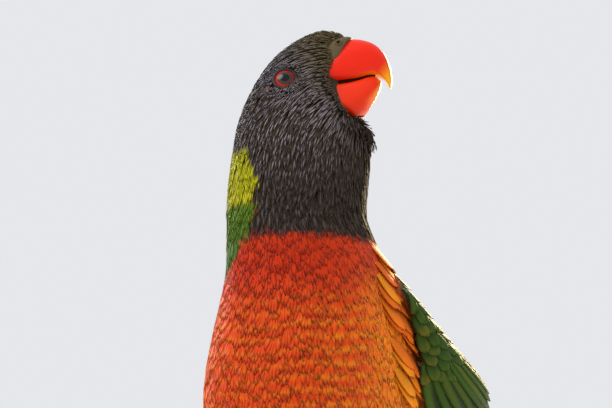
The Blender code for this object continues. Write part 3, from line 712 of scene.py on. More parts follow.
def breast_marks(point, place, bearing, z):
    """Colours of tips and bases on the barred breast, the belly and the vent; its sides partly painted
    glow.
    """
    front = turned_from(bearing, FRONT_BEARING)
    # Towards its sides and lower down the breast turns red-orange, and low on its sides orange: partly
    # its own colour, partly a painted glow of backlight through the edge feathers.
    breast = blend(RED, RED_ORANGE, ramp(front, 20, 80) * 0.5 + 0.5 * (1 - ramp(z, 84, 112)))
    breast = blend(breast, ORANGE, ramp(front, 60, 92) * (1 - ramp(z, 96, 112)))
    sway = 1.4 * np.sin(3.0 * bearing) + 0.8 * np.sin(8.0 * bearing + 1.0)
    wave = ramp(np.sin(point[..., 2] * math.tau / BAR_SPACING + sway), -0.4, 1.0)
    wave = wave * mix(0.35, 0.9, ramp(front, 10, 80)) * (1 - ramp(z, 86, 106))
    breast = blend(breast, YELLOW, wave * 0.55)
    under = blend(breast, RED_ORANGE, 0.3)
    torso = place - 1.0
    belly = ramp(torso, *BELLY_START) * (1.0 - ramp(torso, *BELLY_END)) * (1.0 - ramp(front, 40, 60))
    vent = ramp(torso, *VENT_START)
    breast = blend(blend(breast, VIOLET, belly), LIGHT_GREEN, vent)
    return breast, blend(blend(under, DEEP_GREEN, belly), YELLOW, vent)


def body_marks(place, bearing, draw):
    """Colours of the coat at places on the body: tip, base, streak, streak and rim strength."""
    point = body_point(place, bearing)
    each = place.shape[:1] + (1,) * (place.ndim - 1)
    z = point[..., 2] + draw.normal(0, 0.5, each)
    turn = (np.degrees(bearing) + 80.0) % 360.0 - 80.0 + draw.normal(0, 1.5, each)
    on_nape = nape_share(point, z, turn)
    head_low = mix(HEAD_BASE, COLLAR_TOP, on_nape)
    on_head = ramp(z, head_low - 0.7, head_low + 0.7)
    on_collar = ramp(z, COLLAR_BASE - 1.5, COLLAR_BASE + 2.0)
    head, streak, streaks = head_marks(point, place, bearing, z)
    breast, under = breast_marks(point, place, bearing, z)
    nape = blend(blend(GREEN, LIGHT_GREEN, ramp(z, 105, 131)), COLLAR, on_collar)
    back = blend(GREEN, DEEP_GREEN, draw.uniform(0, 0.5, each))
    back = blend(back, nape, ramp(z, 100, 104))
    lower = blend(breast, back, on_nape)
    tip = blend(lower, head, on_head)
    base = blend(blend(under, lower * 0.6, on_nape), head * 0.7, on_head)
    rims = (1 - on_head) * (1 - on_nape) * ramp(z, 88, 112) * (draw.random(each) < 0.12) * 0.8
    return tip, base, streak, on_head * streaks, rims


def spread_marks(tip, base, streak, streaks, rims, flat, draw):
    """Lay per-feather colours over each feather's points."""
    share = ramp(flat[..., 1], 0.50, 0.88)
    share = np.clip(share + draw.normal(0, 0.12, (len(flat), 1)), 0.0, 1.0)
    if tip.ndim == 2:
        tip, base, streak = tip[:, None], base[:, None], streak[:, None]
        streaks, rims = streaks[:, None], rims[:, None]
    tint = base * (1 - share[..., None]) + tip * share[..., None]
    tint = tint * draw.uniform(0.94, 1.06, (len(flat), 1, 1))
    accent = streak + 0.0 * tint
    chance = draw.random((len(flat), 1)) + 0.0 * share
    marks = np.stack([streaks + 0.0 * share, rims + 0.0 * share, chance], axis=-1)
    return tint, accent, marks


def plain_marks(tip, base):
    """Colours of feathers that have neither streaks nor rims."""
    nothing = np.zeros(len(tip))
    return tip, base, tip, nothing, nothing


# Materials

# On a feather's vane: edges of the shaft streak, where it starts along the feather and
# where the dark rim does, how the barbs slant, and the grain's scale.
SHAFT_EDGE = (0.04, 0.22)
SHAFT_START = (0.15, 0.50)
RIM_START = (0.86, 0.97)
BARB_SLANT = 0.9
BARB_GRAIN = 900.0

# Foot scales: how fine they are, their dark edge, how dark it is and how deep.
SCALES = 850.0
SCALE_EDGE = (0.0, 0.12)
SCALE_DARK = 0.4
SCALE_DEPTH = 0.0003


class Surface:
    """A node material with short ways to add to it."""

    def __init__(self, name):
        self.material = bpy.data.materials.new(name)
        self.material.use_nodes = True
        self.tree = self.material.node_tree
        self.shader = self.tree.nodes["Principled BSDF"]

    def put(self, socket, value):
        """Give a socket a number, a colour or another node's output."""
        if isinstance(value, (int, float)):
            socket.default_value = value
        elif isinstance(value, tuple):
            socket.default_value = (*value, 1.0)
        else:
            self.tree.links.new(value, socket)

    def add(self, kind, inputs, **settings):
        """Add a node and return its outputs."""
        node = self.tree.nodes.new(kind)
        for name, value in settings.items():
            setattr(node, name, value)
        for name, value in inputs.items():
            self.put(node.inputs[name], value)
        return node.outputs

    def attribute(self, name):
        return self.add("ShaderNodeAttribute", {}, attribute_name=name)["Color"]

    def noise(self, scale, detail=2.0):
        return self.add("ShaderNodeTexNoise", {"Scale": scale, "Detail": detail})["Fac"]

    def maths(self, operation, *values):
        return self.add("ShaderNodeMath", dict(enumerate(values)), operation=operation)[0]

    def step(self, value, start, end):
        """A smooth step from 0 at start to 1 at end."""
        inputs = {"Value": value, "From Min": start, "From Max": end}
        return self.add("ShaderNodeMapRange", inputs, interpolation_type="SMOOTHSTEP")["Result"]

    def mix(self, share, first, second, kind="MIX"):
        inputs = {0: share, 6: first, 7: second}
        return self.add("ShaderNodeMix", inputs, data_type="RGBA", blend_type=kind)[2]

    def shade(self, colour, grain, dark, light):
        """A colour that a grain makes darker and lighter."""
        return self.mix(1.0, colour, self.mix(grain, (dark,) * 3, (light,) * 3), "MULTIPLY")

    def finish(self, colour, height, depth, values, strength=1.0):
        """Set the shader's colour, fine relief and plain values."""
        bump = self.add("ShaderNodeBump", {"Strength": strength, "Distance": depth, "Height": height})
        for name, value in {"Base Color": colour, "Normal": bump[0], **values}.items():
            self.put(self.shader.inputs[name], value)
        return self.material


def feather_material(name, roughness, sheen, barbs, depth):
    """Painted feathers with a shaft streak, a dark rim on some, and fine barbs."""
    surface = Surface(name)
    marks = surface.add("ShaderNodeSeparateColor", {0: surface.attribute("Marks")})
    vane = surface.add("ShaderNodeUVMap", {}, uv_map="Vane")[0]
    axes = surface.add("ShaderNodeSeparateXYZ", {0: vane})
    part = axes[1]
    aside = surface.maths("ABSOLUTE", surface.maths("SUBTRACT", axes[0], 0.5))
    shaft = surface.maths("SUBTRACT", 1.0, surface.step(aside, *SHAFT_EDGE))
    shaft = surface.maths("MULTIPLY", shaft, surface.step(part, *SHAFT_START))
    shaft = surface.maths("MULTIPLY", shaft, marks[0])
    colour = surface.mix(shaft, surface.attribute("Tint"), surface.attribute("Accent"))
    rim = surface.maths("MULTIPLY", surface.step(part, *RIM_START), marks[1])
    colour = surface.mix(rim, colour, BLACK)
    slant = surface.maths("SUBTRACT", part, surface.maths("MULTIPLY", aside, BARB_SLANT))
    wave = surface.maths("SINE", surface.maths("MULTIPLY", slant, barbs))
    wave = surface.maths("MULTIPLY_ADD", wave, 0.5, 0.5)
    grain = surface.maths("MULTIPLY", wave, surface.noise(BARB_GRAIN))
    values = {
        "Roughness": roughness, "Specular IOR Level": 0.15, "Sheen Weight": sheen, "Sheen Roughness": 0.4,
    }
    return surface.finish(surface.shade(colour, grain, 0.92, 1.20), grain, depth, values, 0.5)


def bumpy_material(name, colour, roughness, scale, depth, wet=0.0, shine=0.4):
    """Bare skin or horn with a fine grain; with no colour of its own it takes the painted one."""
    surface = Surface(name)
    grain = surface.noise(scale, 3.0)
    colour = surface.shade(colour or surface.attribute("Tint"), grain, 0.72, 1.25)
    values = {
        "Roughness": roughness, "Specular IOR Level": shine, "Coat Weight": wet, "Coat Roughness": 0.03,
    }
    return surface.finish(colour, grain, depth, values)


def scaly_material(name, colour):
    """Foot skin with small scales."""
    surface = Surface(name)
    cells = surface.add("ShaderNodeTexVoronoi", {"Scale": SCALES}, feature="DISTANCE_TO_EDGE")
    edge = surface.step(cells["Distance"], *SCALE_EDGE)
    dark = tuple(value * SCALE_DARK for value in colour)
    return surface.finish(surface.mix(edge, dark, colour), edge, SCALE_DEPTH, {"Roughness": 0.6})


def skin_material():
    """Painted dull skin under the coat."""
    surface = Surface("skin")
    grain = surface.noise(700.0)
    colour = surface.shade(surface.attribute("Tint"), grain, 0.5, 1.1)
    return surface.finish(colour, grain, 0.0004, {"Roughness": 0.85})


# Skin

def tube_faces(rows, columns):
    """Faces of a tube of rings, closed at both ends by its two last points."""
    index = np.arange(rows * columns).reshape(rows, columns)
    after = np.roll(index, -1, axis=1)
    sides = np.stack([index[:-1], index[1:], after[1:], after[:-1]], axis=-1).reshape(-1, 4)
    start = np.stack([np.full(columns, rows * columns), index[0], after[0]], axis=-1)
    end = np.stack([np.full(columns, rows * columns + 1), after[-1], index[-1]], axis=-1)
    return sides.tolist() + start.tolist() + end.tolist()


def tube(name, rings):
    """A closed object from an array of rings."""
    points = np.concatenate([rings.reshape(-1, 3), [rings[0].mean(axis=0)], [rings[-1].mean(axis=0)]])
    mesh = bpy.data.meshes.new(name)
    mesh.from_pydata(to_frame(points).tolist(), [], tube_faces(*rings.shape[:2]))
    return new_object(name, mesh)


def joined(name, pieces):
    """Pieces made into one."""
    bpy.ops.object.select_all(action="DESELECT")
    for piece in pieces:
        piece.select_set(True)
    bpy.context.view_layer.objects.active = pieces[0]
    bpy.ops.object.join()
    pieces[0].name = name
    return pieces[0]


def limb_rings(path, radii, steps, sides):
    """Rings round a smooth path."""
    place = np.linspace(0.0, 1.0, steps)
    centres = along(path, place)
    width = along(np.asarray(radii, float)[:, None], place)
    heading = unit(np.gradient(centres, axis=0))
    across = unit(np.cross(heading, LIMB_TWIST))
    upward = np.cross(across, heading)
    angle = circle(sides)[None, :, None]
    ring = np.cos(angle) * across[:, None] + np.sin(angle) * upward[:, None]
    return centres[:, None] + ring * width[:, None]


def wing_rings():
    """The flesh under the left wing's feathers."""
    grid = np.linspace(0.0, 0.88, 40), np.linspace(0.05, 0.95, 16)
    place, spread = np.meshgrid(*grid, indexing="ij")
    sunk = 2.3 * ramp(place, 0.0, 0.25) + 0.6
    top = WING.place(place, spread, -sunk)
    place, spread, sunk = place[:, 1:-1], spread[:, 1:-1], sunk[:, 1:-1]
    depth = along(WING_DEPTH, place)[..., 0] * WING_FLESH
    low = WING.place(place, spread, -(sunk + depth * np.sqrt(np.sin(np.pi * spread))))
    return np.concatenate([top, low[:, ::-1]], axis=1)


def make_skin():
    """One skin over head, neck, torso, wings, thighs and the tail's root."""
    place = np.concatenate([np.linspace(0.02, 1.0, 70), np.linspace(1.01, 2.0, 80)])[:, None]
    place, bearing = np.broadcast_arrays(place, circle(96)[None, :])
    depth = SKIN_DEPTH + FACE_DEPTH * (1.0 - ramp(place, 0.05, 0.28)) + bill_dip(place, bearing)
    parts = [tube("skin", BODY.place(place, bearing, -depth))]
    for flip in (1.0, MIRROR):
        parts.append(tube("flesh", wing_rings() * flip))
        parts.append(tube("flesh", limb_rings(THIGH_PATH, THIGH_RADII, 20, 20) * flip))
    skin = joined("skin", parts)
    remesh = skin.modifiers.new("remesh", "REMESH")
    remesh.mode = "VOXEL"
    remesh.voxel_size = SKIN_CELL
    remesh.use_smooth_shade = True
    bpy.ops.object.modifier_apply(modifier="remesh")
    return skin


def body_grid(places, bearings):
    """Closely spaced places on the body, and their points."""
    place, bearing = (grid.ravel() for grid in np.meshgrid(places, bearings))
    return place, bearing, body_point(place, bearing)


def paint_skin(skin, draw):
    """Give the skin the nearest coat's base colour at 0.6, and painted shade under wings and thighs."""
    place, bearing, point = body_grid(np.linspace(0.0, 2.0, 300), circle(180))
    base = body_marks(place, bearing, draw)[1]
    tree = KDTree(len(point))
    for index, spot in enumerate(to_frame(point)):
        tree.insert(spot, index)
    tree.balance()
    near, distance = np.array([tree.find(vertex.co)[1:] for vertex in skin.data.vertices]).T
    height = np.array([vertex.co.z for vertex in skin.data.vertices])
    # Skin far from the body's coat and low down, the flesh of wings and thighs, gets the painted shade.
    inner = ramp(distance, *WING_GAP_SHADE_REACH) * (height < WING_GAP_SHADE_TOP)
    paint(skin, "Tint", blend(base[near.astype(int)] * 0.6, WING_GAP_SHADE, inner))
    skin.data.materials.clear()
    skin.data.materials.append(skin_material())
    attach(skin, "root")
    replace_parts(skin, "head", "neck", "torso", "thigh_left", "thigh_right")


# Coat of the body

# How far the eye's face stands out, and the room that feathers leave round it at
# shares of their length.
EYE_FACE = 2.0
EYE_ROOM = [(0.0, 4.3), (0.4, 4.9), (0.7, 5.0), (1.0, 4.9)]

# Tiny feathers round the eyes and at the bill's base, and loose ones on the chin.
EYE_FRINGE = (4.5, 8.6)
FRINGE_FEATHERS = 900
BILL_FRINGE_DEPTH = 3.0
BILL_FRINGE_FEATHERS = 1300
CHIN_AHEAD = 18.0
CHIN_HEIGHTS = (-21.0, -11.0)
CHIN_FEATHERS = 260

# Big feathers of the breast's sides: places, degrees off the wing's edge, turn and lift.
SIDE_PLACES = (1.09, 1.45)
RIGHT_SIDE_TOP = 1.19
SIDE_ROWS = 10
SIDE_BEARINGS = (-18.0, -8.0, 2.0)
SIDE_TURN = 0.16
SIDE_LIFT = 2.6

# How feathers turn back on the cheek and forward on the throat, in radians.
CHEEK_SWEEP = 0.30
THROAT_SWEEP = -0.05

# A small feather: its grid, blades, outline, heights at root and tip and how much they
# stray, tilt, hollow, thickness, ragged tip and least girth.
STYLE = {
    "rows": 5, "columns": 3, "barbs": 1, "outline": (0.45, 0.55, 0.10), "low": -1.1, "high": 0.05,
    "uneven": 0.06, "tilt": 0.0, "cup": 0.12, "thickness": 0.035, "ragged": 0.03, "least_girth": 3.0,
}

# What is different on the breast: higher roots and lower tips make it smooth.
BREAST_RISE = 0.72
BREAST_SETTLE = 0.15
BREAST_CHANGES = {"rows": 6, "outline": (0.5, 0.5, 0.20), "cup": 0.06, "uneven": 0.05}

# Coat sizes down the body: place, row spacing, column spacing, length, half width.
COAT_SIZES = [
    (0.02, 1.0, 0.62, 3.2, 0.32),
    (0.20, 1.9, 0.62, 6.6, 0.37),
    (0.45, 3.0, 0.70, 10.5, 0.45),
    (0.70, 3.4, 1.0, 11.0, 0.72),
    (0.90, 2.8, 2.0, 10.0, 1.3),
    (1.02, 2.5, 2.5, 10.0, 2.1),
    (1.12, 2.8, 3.0, 12.0, 2.8),
    (1.50, 3.2, 3.4, 13.5, 3.1),
    (2.00, 3.4, 3.6, 12.5, 2.8),
]

# Pieces of the body's coat: name, first and last place, blades to a feather.
HEAD_END = 1.03
COAT_PIECES = [
    ("coat_face", 0.0, 0.30, 1),
    ("coat_cheeks", 0.30, 0.55, 1),
    ("coat_head", 0.55, 0.78, 3),
    ("coat_neck", 0.78, 1.03, 5),
    ("coat_upper_breast", 1.03, 1.22, 5),
    ("coat_lower_breast", 1.22, 1.40, 5),
    ("coat_middle_body", 1.40, 1.58, 5),
    ("coat_belly", 1.58, 1.76, 5),
    ("coat_rump", 1.76, 2.1, 5),
]


def coat_size(place, column):
    """A size of the coat at places down the body, from a column of the table."""
    table = np.array(COAT_SIZES)
    return np.interp(place, table[:, 0], table[:, column])


def coat_pitches(place):
    return coat_size(place, 1), coat_size(place, 2)


def eye_distance(point):
    """Millimetres from the face of the nearer eye."""
    eyes = [head_point(*EYE_PLACE, side * (EYE_DEPTH + EYE_FACE)) for side in (1, -1)]
    return np.min([np.linalg.norm(point - eye, axis=-1) for eye in eyes], axis=0)


def on_bill(ahead, up):
    """True inside the side outline of the bare bill and cere."""
    inside = np.zeros(np.shape(ahead), bool)
    for (x1, y1), (x2, y2) in zip(BILL_BASE, BILL_BASE[1:] + BILL_BASE[:1]):
        if y1 == y2:
            continue
        crosses = (y1 > up) != (y2 > up)
        inside ^= crosses & (ahead < x1 + (up - y1) / (y2 - y1) * (x2 - x1))
    return inside


def clear_of_eyes(root, tip):
    """True for feathers that leave the eyes and lids free."""
    clear = np.ones(len(root), bool)
    for part, room in EYE_ROOM:
        place, bearing = mix(root, tip, part).T
        clear &= eye_distance(body_point(np.clip(place, 0, 2), bearing)) > room
    return clear


def some_of(place, bearing, chosen, count, draw):
    """Some of the chosen places, as roots of feathers."""
    found = np.flatnonzero(chosen)
    found = draw.choice(found, min(len(found), count), replace=False)
    return np.stack([place[found], bearing[found]], axis=1)


def body_places(root):
    """Flat places of feathers on the unwrapped body: round it, and down it."""
    return np.stack([root[:, 1] / math.tau % 1.0, root[:, 0] / 2.0], axis=1) * 0.98 + 0.01


def make_head_coat(name, root, tip, width, style, material, draw):
    """Single feathers of the head with the body's markings."""
    grown = grow(BODY, root, tip, width, style, draw)
    colours = spread_marks(*body_marks(*root.T, draw), grown[1], draw)
    make_coat(name, grown, body_places(root), colours, material)


def eye_fringe(draw):
    """Roots of tiny feathers packed round the eyes."""
    place, bearing, point = body_grid(np.linspace(0.1, 0.75, 260), circle(720))
    distance = eye_distance(point)
    near = (distance > EYE_FRINGE[0]) & (distance < EYE_FRINGE[1])
    return some_of(place, bearing, near, FRINGE_FEATHERS, draw)


def bill_fringe(draw):
    """Roots of tiny feathers packed along the bill's base."""
    place, bearing, point = body_grid(np.linspace(0.02, 0.5, 300), circle(900))
    ahead, up = profile_place(point)
    behind = ~on_bill(ahead, up) & on_bill(ahead + BILL_FRINGE_DEPTH, up)
    return some_of(place, bearing, behind, BILL_FRINGE_FEATHERS, draw)


def make_fringe(material, draw):
    """Tiny feathers round the eyes and along the bill's base."""
    root = np.concatenate([eye_fringe(draw), bill_fringe(draw)])
    tip = reach_down(BODY, root, draw.uniform(1.8, 3.0, len(root)), draw)
    clear = clear_of_eyes(root, tip)
    root, tip = root[clear], tip[clear]
    low, high = -0.75 - bill_dip(*root.T), 0.12 - bill_dip(*tip.T)
    style = dict(STYLE, low=low, high=high, outline=(0.4, 0.5, 0.05))
    make_head_coat("coat_eyes", root, tip, draw.uniform(0.26, 0.36, len(root)), style, material, draw)


def body_roots(draw):
    """Roots and tips of the body's feathers, clear of eyes and bill."""
    root = staggered(BODY, (0.02, 1.97), coat_pitches, (0.0, math.tau), draw)
    length = coat_size(root[:, 0], 3) * draw.uniform(0.88, 1.12, len(root))
    ahead, up = profile_place(body_point(*root.T))
    window = ramp(root[:, 0], 0.05, 0.15) * (1.0 - ramp(root[:, 0], 0.50, 0.80))
    turned = mix(THROAT_SWEEP, CHEEK_SWEEP, ramp(up, -30.0, -8.0))
    sweep = turned * np.sin(root[:, 1] - HEAD_TURN) * window
    tip = reach_down(BODY, root, length, draw, sweep=sweep)
    clear = clear_of_eyes(root, tip) & ~on_bill(ahead, up)
    return root[clear], tip[clear]


def make_body_coat(material, draw):
    """The body's feathers as pieces from face to rump, each with its own colours."""
    root, tip = body_roots(draw)
    width = coat_size(root[:, 0], 4) * draw.uniform(0.9, 1.1, len(root))
    low, high = STYLE["low"] - bill_dip(*root.T), STYLE["high"] - bill_dip(*tip.T)
    for name, start, end, barbs in COAT_PIECES:
        chosen = (root[:, 0] >= start) & (root[:, 0] < end)
        style, slot = dict(STYLE, barbs=barbs, low=low[chosen], high=high[chosen]), "plumage_head"
        if start >= HEAD_END:
            style.update(BREAST_CHANGES, low=low[chosen] + BREAST_RISE, high=high[chosen] - BREAST_SETTLE)
            slot = "plumage_breast"
        grown = grow(BODY, root[chosen], tip[chosen], width[chosen], style, draw)
        part = grown[1][..., 1]
        first = mix(root[chosen, :1], tip[chosen, :1], part)
        second = mix(root[chosen, 1:], tip[chosen, 1:], part)
        colours = spread_marks(*body_marks(np.clip(first, 0, 2), second, draw), grown[1], draw)
        make_coat(name, grown, body_places(root[chosen]), colours, material)


def wing_edge_bearing(place):
    """Bearing on the body beside the left wing's front edge, for a place down the torso."""
    height = body_point(place, 0.0)[2]
    wing = wing_point(np.linspace(0.0, 0.5, 60), 0.0)
    beside = wing[np.argmin(np.abs(wing[:, 2] - height))]
    bearings = np.linspace(-math.pi / 2, math.pi / 2, 181)
    ring = body_point(place, bearings)
    return bearings[np.argmin(np.linalg.norm(ring[:, :2] - beside[:2], axis=1))]


def make_side_feathers(material, draw):
    """Big rounded feathers from the breast's sides over the front edges of the wings."""
    rows = []
    for place in np.linspace(*SIDE_PLACES, SIDE_ROWS):
        edge = wing_edge_bearing(place)
        rows.append(np.stack([np.full(3, place), edge + np.radians(SIDE_BEARINGS)], axis=1))
    left = np.concatenate(rows) + draw.normal(0, 0.012, (3 * SIDE_ROWS, 2))
    right = left * (1, -1) + (0, math.pi)
    root = np.concatenate([left, right[right[:, 0] > RIGHT_SIDE_TOP]])
    tip = reach_down(BODY, root, draw.uniform(14.0, 16.5, len(root)), draw)
    tip[:, 1] += SIDE_TURN * np.where(np.cos(root[:, 1]) > 0, 1.0, -1.0)
    style = dict(STYLE, rows=12, columns=9, low=-0.9, high=SIDE_LIFT, cup=0.4, outline=(0.5, 0.62, 0.2))
    grown = grow(BODY, root, tip, draw.uniform(4.0, 4.6, len(root)), style, draw)
    shade = draw.uniform(0, 1, len(root))
    tint = blend(blend(RED_ORANGE, ORANGE, 0.3 + 0.6 * shade), YELLOW, 0.45 * shade)
    colours = spread_marks(*plain_marks(tint, tint * 0.8), grown[1], draw)
    make_coat("coat_sides", grown, body_places(root), colours, material)


def make_chin(material, draw):
    """Loose dark feathers that stand off a little below the bill."""
    bearings = HEAD_TURN + np.radians(np.linspace(-60, 60, 200))
    place, bearing, point = body_grid(np.linspace(0.03, 0.5, 200), bearings)
    ahead, up = profile_place(point)
    chin = (ahead > CHIN_AHEAD) & (up > CHIN_HEIGHTS[0]) & (up < CHIN_HEIGHTS[1]) & ~on_bill(ahead, up)
    root = some_of(place, bearing, chin, CHIN_FEATHERS, draw)
    tip = reach_down(BODY, root, draw.uniform(5.0, 9.0, len(root)), draw, stray=0.2)
    high = draw.uniform(0.4, 2.4, len(root))
    style = dict(STYLE, low=-1.0 - bill_dip(*root.T), high=high, outline=(0.45, 0.4, 0.02))
    make_head_coat("coat_chin", root, tip, draw.uniform(0.30, 0.45, len(root)), style, material, draw)


# Wings

# Coverts: where they start down and across the wing, and their spacings.
COVERT_ENDS = (0.015, 0.30)
COVERT_SPAN = (0.02, 0.98)
COVERT_PITCHES = (3.4, 3.7)
COVERT_STYLE = dict(
    STYLE, rows=8, columns=7, low=-1.2, high=0.7, outline=(0.55, 0.5, 0.25), ragged=0.015, cup=0.2,
)
FLIGHT_STYLE = {
    "rows": 14, "columns": 7, "barbs": 1, "outline": (0.55, 0.5, 0.14), "low": -1.9, "high": 1.1,
    "uneven": 0.06, "tilt": 0.55, "cup": 0.3, "thickness": 0.12, "ragged": 0.006, "least_girth": 12.0,
}

# Strength of a flight feather's shaft, where its black inner web starts, and how far
# tips and end feathers darken.
FLIGHT_SHAFT = 0.8
WEB_EDGE = (0.50, 0.62)
WEB_TIP = (0.90, 1.0)
WEB_END = (0.7, 0.95)

# Tiers of long wing feathers: how many, roots and tips as (place, across) of the first
# and last feather, half width, height at root and tip.
WING_TIERS = [
    (15, (0.22, 0.05), (0.20, 0.96), (0.44, 0.04), (0.44, 0.96), 4.4, -1.0, 1.9),
    (15, (0.32, 0.05), (0.30, 0.95), (0.60, 0.06), (0.62, 0.95), 4.6, -1.4, 1.7),
    (13, (0.44, 0.06), (0.40, 0.94), (0.78, 0.10), (0.84, 0.95), 4.8, -1.8, 1.3),
    (10, (0.55, 0.06), (0.52, 0.74), (1.00, 0.16), (0.86, 0.86), 4.8, -2.0, 0.9),
]


def covert_marks(place, across, draw):
    """Colours of the wing's coverts."""
    edge = 1.0 - ramp(across, 0.05, 0.30)
    tip = blend(WING_GREEN, WING_OLIVE, edge * 0.6 + draw.uniform(0, 0.3, place.shape))
    base = blend(blend(DEEP_GREEN, WING_GREEN, 0.6), BLACK, ramp(place, 0.3, 0.8))
    front = 1.0 - ramp(across, 0.03, 0.10)
    shoulder = front * (1.0 - ramp(place, 0.10, 0.30)) * (draw.random(place.shape) < 0.7)
    tip = blend(tip, ORANGE_YELLOW, shoulder * 0.12)
    streak = np.broadcast_to(np.array(SHAFT_DARK), tip.shape)
    return tip, base, streak, 0.15 + 0.0 * place, 0.1 * (draw.random(place.shape) < 0.3)


def flight_colours(flat, place, draw):
    """Green outer webs and black inner webs, with a dark shaft."""
    inner = ramp(flat[..., 0], *WEB_EDGE)
    tips = ramp(flat[..., 1], *WEB_TIP) * ramp(place, *WEB_END)[:, None]
    dark = np.clip(inner * 0.9 + tips, 0.0, 1.0)
    green = blend(WING_GREEN, WING_OLIVE, draw.uniform(0, 0.5, place.shape))
    tint = blend(green[:, None, :] + 0.0 * flat[..., :1], BLACK, dark)
    tint = tint * draw.uniform(0.85, 1.15, (len(flat), 1, 1))
    marks = np.zeros(tint.shape)
    marks[..., 0] = FLIGHT_SHAFT
    marks[..., 2] = draw.random(len(flat))[:, None]
    return tint, np.broadcast_to(np.array(SHAFT_DARK), tint.shape), marks


def wing_tiers(draw):
    """Roots, tips, half widths and heights of the long feathers of all tiers."""
    tiers = []
    for count, root_first, root_last, tip_first, tip_last, width, low, high in WING_TIERS:
        part = np.linspace(0.0, 1.0, count)[:, None]
        root = mix(np.array(root_first), np.array(root_last), part)
        tip = mix(np.array(tip_first), np.array(tip_last), part) + draw.normal(0, 0.006, (count, 2))
        tip[:, 0] = np.minimum(tip[:, 0], 1.0)
        widths = width * draw.uniform(0.95, 1.05, count)
        tiers.append((root, tip, widths, np.full(count, low), np.full(count, high)))
    return [np.concatenate(values) for values in zip(*tiers)]


def wing_places(root, mirror):
    """Flat places of wing roots, beside those of the body."""
    across = np.clip(root[:, 1], 0, 1) * 0.2
    return np.stack([0.78 - across if mirror else 0.22 + across, 0.55 + 0.4 * root[:, 0]], axis=1)


def make_wings(covert_material, flight_material, draw):
    """Coverts and long feathers of the left wing, and the same mirrored."""
    root = staggered(WING, COVERT_ENDS, steady(COVERT_PITCHES), COVERT_SPAN, draw)
    tip = reach_down(WING, root, draw.uniform(9.5, 11.5, len(root)), draw)
    coverts = grow(WING, root, tip, draw.uniform(2.5, 2.9, len(root)), COVERT_STYLE, draw)
    covert_tint = spread_marks(*covert_marks(*root.T, draw), coverts[1], draw)
    long_root, long_tip, widths, low, high = wing_tiers(draw)
    flight = grow(WING, long_root, long_tip, widths, dict(FLIGHT_STYLE, low=low, high=high), draw)
    flight_tint = flight_colours(flight[1], long_root[:, 0], draw)
    for side, mirror in SIDES:
        places = wing_places(root, mirror)
        make_coat("wing_coverts_" + side, coverts, places, covert_tint, covert_material, mirror)
        places = wing_places(long_root, mirror)
        piece = make_coat("wing_feathers_" + side, flight, places, flight_tint, flight_material, mirror)
        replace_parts(piece, "wing_" + side)


# Tail

TAIL_STYLE = dict(FLIGHT_STYLE, rows=18, outline=(0.45, 0.55, 0.08), tilt=0.0, cup=0.25, thickness=0.14)
TAIL_COVERT_STYLE = dict(STYLE, barbs=5, low=-1.6, high=1.2, outline=(0.5, 0.5, 0.2), least_girth=0.9)
TAIL_COVERT_START = 66.0
TAIL_COVERT_SPAN = (-8.0, 8.0)
TAIL_COVERT_PITCHES = (3.4, 3.8)

# Coverts of the tail: name, sheet, where their roots end, colours of tip and base.
TAIL_COVERTS = [
    ("tail_coverts_upper", TAIL, 90.0, TAIL_GREEN, DEEP_GREEN),
    ("tail_coverts_lower", TAIL_UNDER, 98.0, YELLOW_GREEN, YELLOW),
]


def tail_colours(flat, draw):
    """Green with dark tips; the outer feathers are yellow-green at their base."""
    part = flat[..., 1]
    outer = np.arange(len(flat))[:, None] // 2 / 5.0
    green = blend(TAIL_GREEN, BLACK, ramp(part, 0.93, 1.0) * 0.2)
    tint = blend(green, YELLOW_GREEN, outer * (1 - ramp(part, 0.5, 0.9)) * 0.7)
    tint = tint * draw.uniform(0.85, 1.1, (len(flat), 1, 1))
    marks = np.zeros(tint.shape)
    marks[..., 0] = FLIGHT_SHAFT
    return tint, np.broadcast_to(np.array(SHAFT_DARK), tint.shape), marks


def make_tail(material, draw):
    """Pairs of long feathers; the first pair lies on top."""
    roots, tips, levels = [], [], []
    for rank, (tip_x, share) in enumerate(RECTRIX_TIPS):
        length = (TAIL_TIP_Y - RECTRIX_ROOT_Y) * share - (0.3 if rank == 0 else draw.uniform(0.5, 1.5))
        for side in (1, -1):
            roots.append((RECTRIX_ROOT_Y, side * RECTRIX_ROOT_STEP * (rank + 0.7)))
            tips.append((RECTRIX_ROOT_Y + length, side * tip_x))
            levels.append(-RECTRIX_LAYER * (rank + (0.5 if side > 0 else 0.0)) - 0.35)
    roots, tips, low = np.array(roots), np.array(tips), np.array(levels)
    high = np.where(np.arange(len(low)) < 2, 0.0, low)
    style = dict(TAIL_STYLE, low=low, high=high, least_girth=0.9)
    grown = grow(TAIL, roots, tips, np.full(len(low), RECTRIX_HALF_WIDTH), style, draw)
    places = roots * np.array([0.0, 0.004]) + np.array([0.97, 0.5])
    colours = tail_colours(grown[1], draw)
    piece = make_coat("tail_feathers", grown, places, colours, material)
    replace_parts(piece, "tail")


def make_tail_coverts(material, draw):
    """Small feathers over and under the tail's root."""
    for name, sheet, end, tip_colour, base_colour in TAIL_COVERTS:
        ends = (TAIL_COVERT_START, end)
        root = staggered(sheet, ends, steady(TAIL_COVERT_PITCHES), TAIL_COVERT_SPAN, draw)
        tip = reach_down(sheet, root, draw.uniform(11.0, 14.0, len(root)), draw)
        grown = grow(sheet, root, tip, draw.uniform(2.6, 3.2, len(root)), TAIL_COVERT_STYLE, draw)
        tint, base = (np.tile(colour, (len(root), 1)) for colour in (tip_colour, base_colour))
        colours = spread_marks(*plain_marks(tint, base), grown[1], draw)
        down = 0.955 + 0.0005 * (root[:, 0] - TAIL_COVERT_START)
        places = np.stack([0.5 + root[:, 1] * 0.01, down], axis=1)
        make_coat(name, grown, places, colours, material)


# Legs

# Feathers of the thighs: where they start, spacings of rows and columns.
THIGH_ENDS = (0.02, 0.85)
THIGH_PITCHES = (2.4, 2.6)

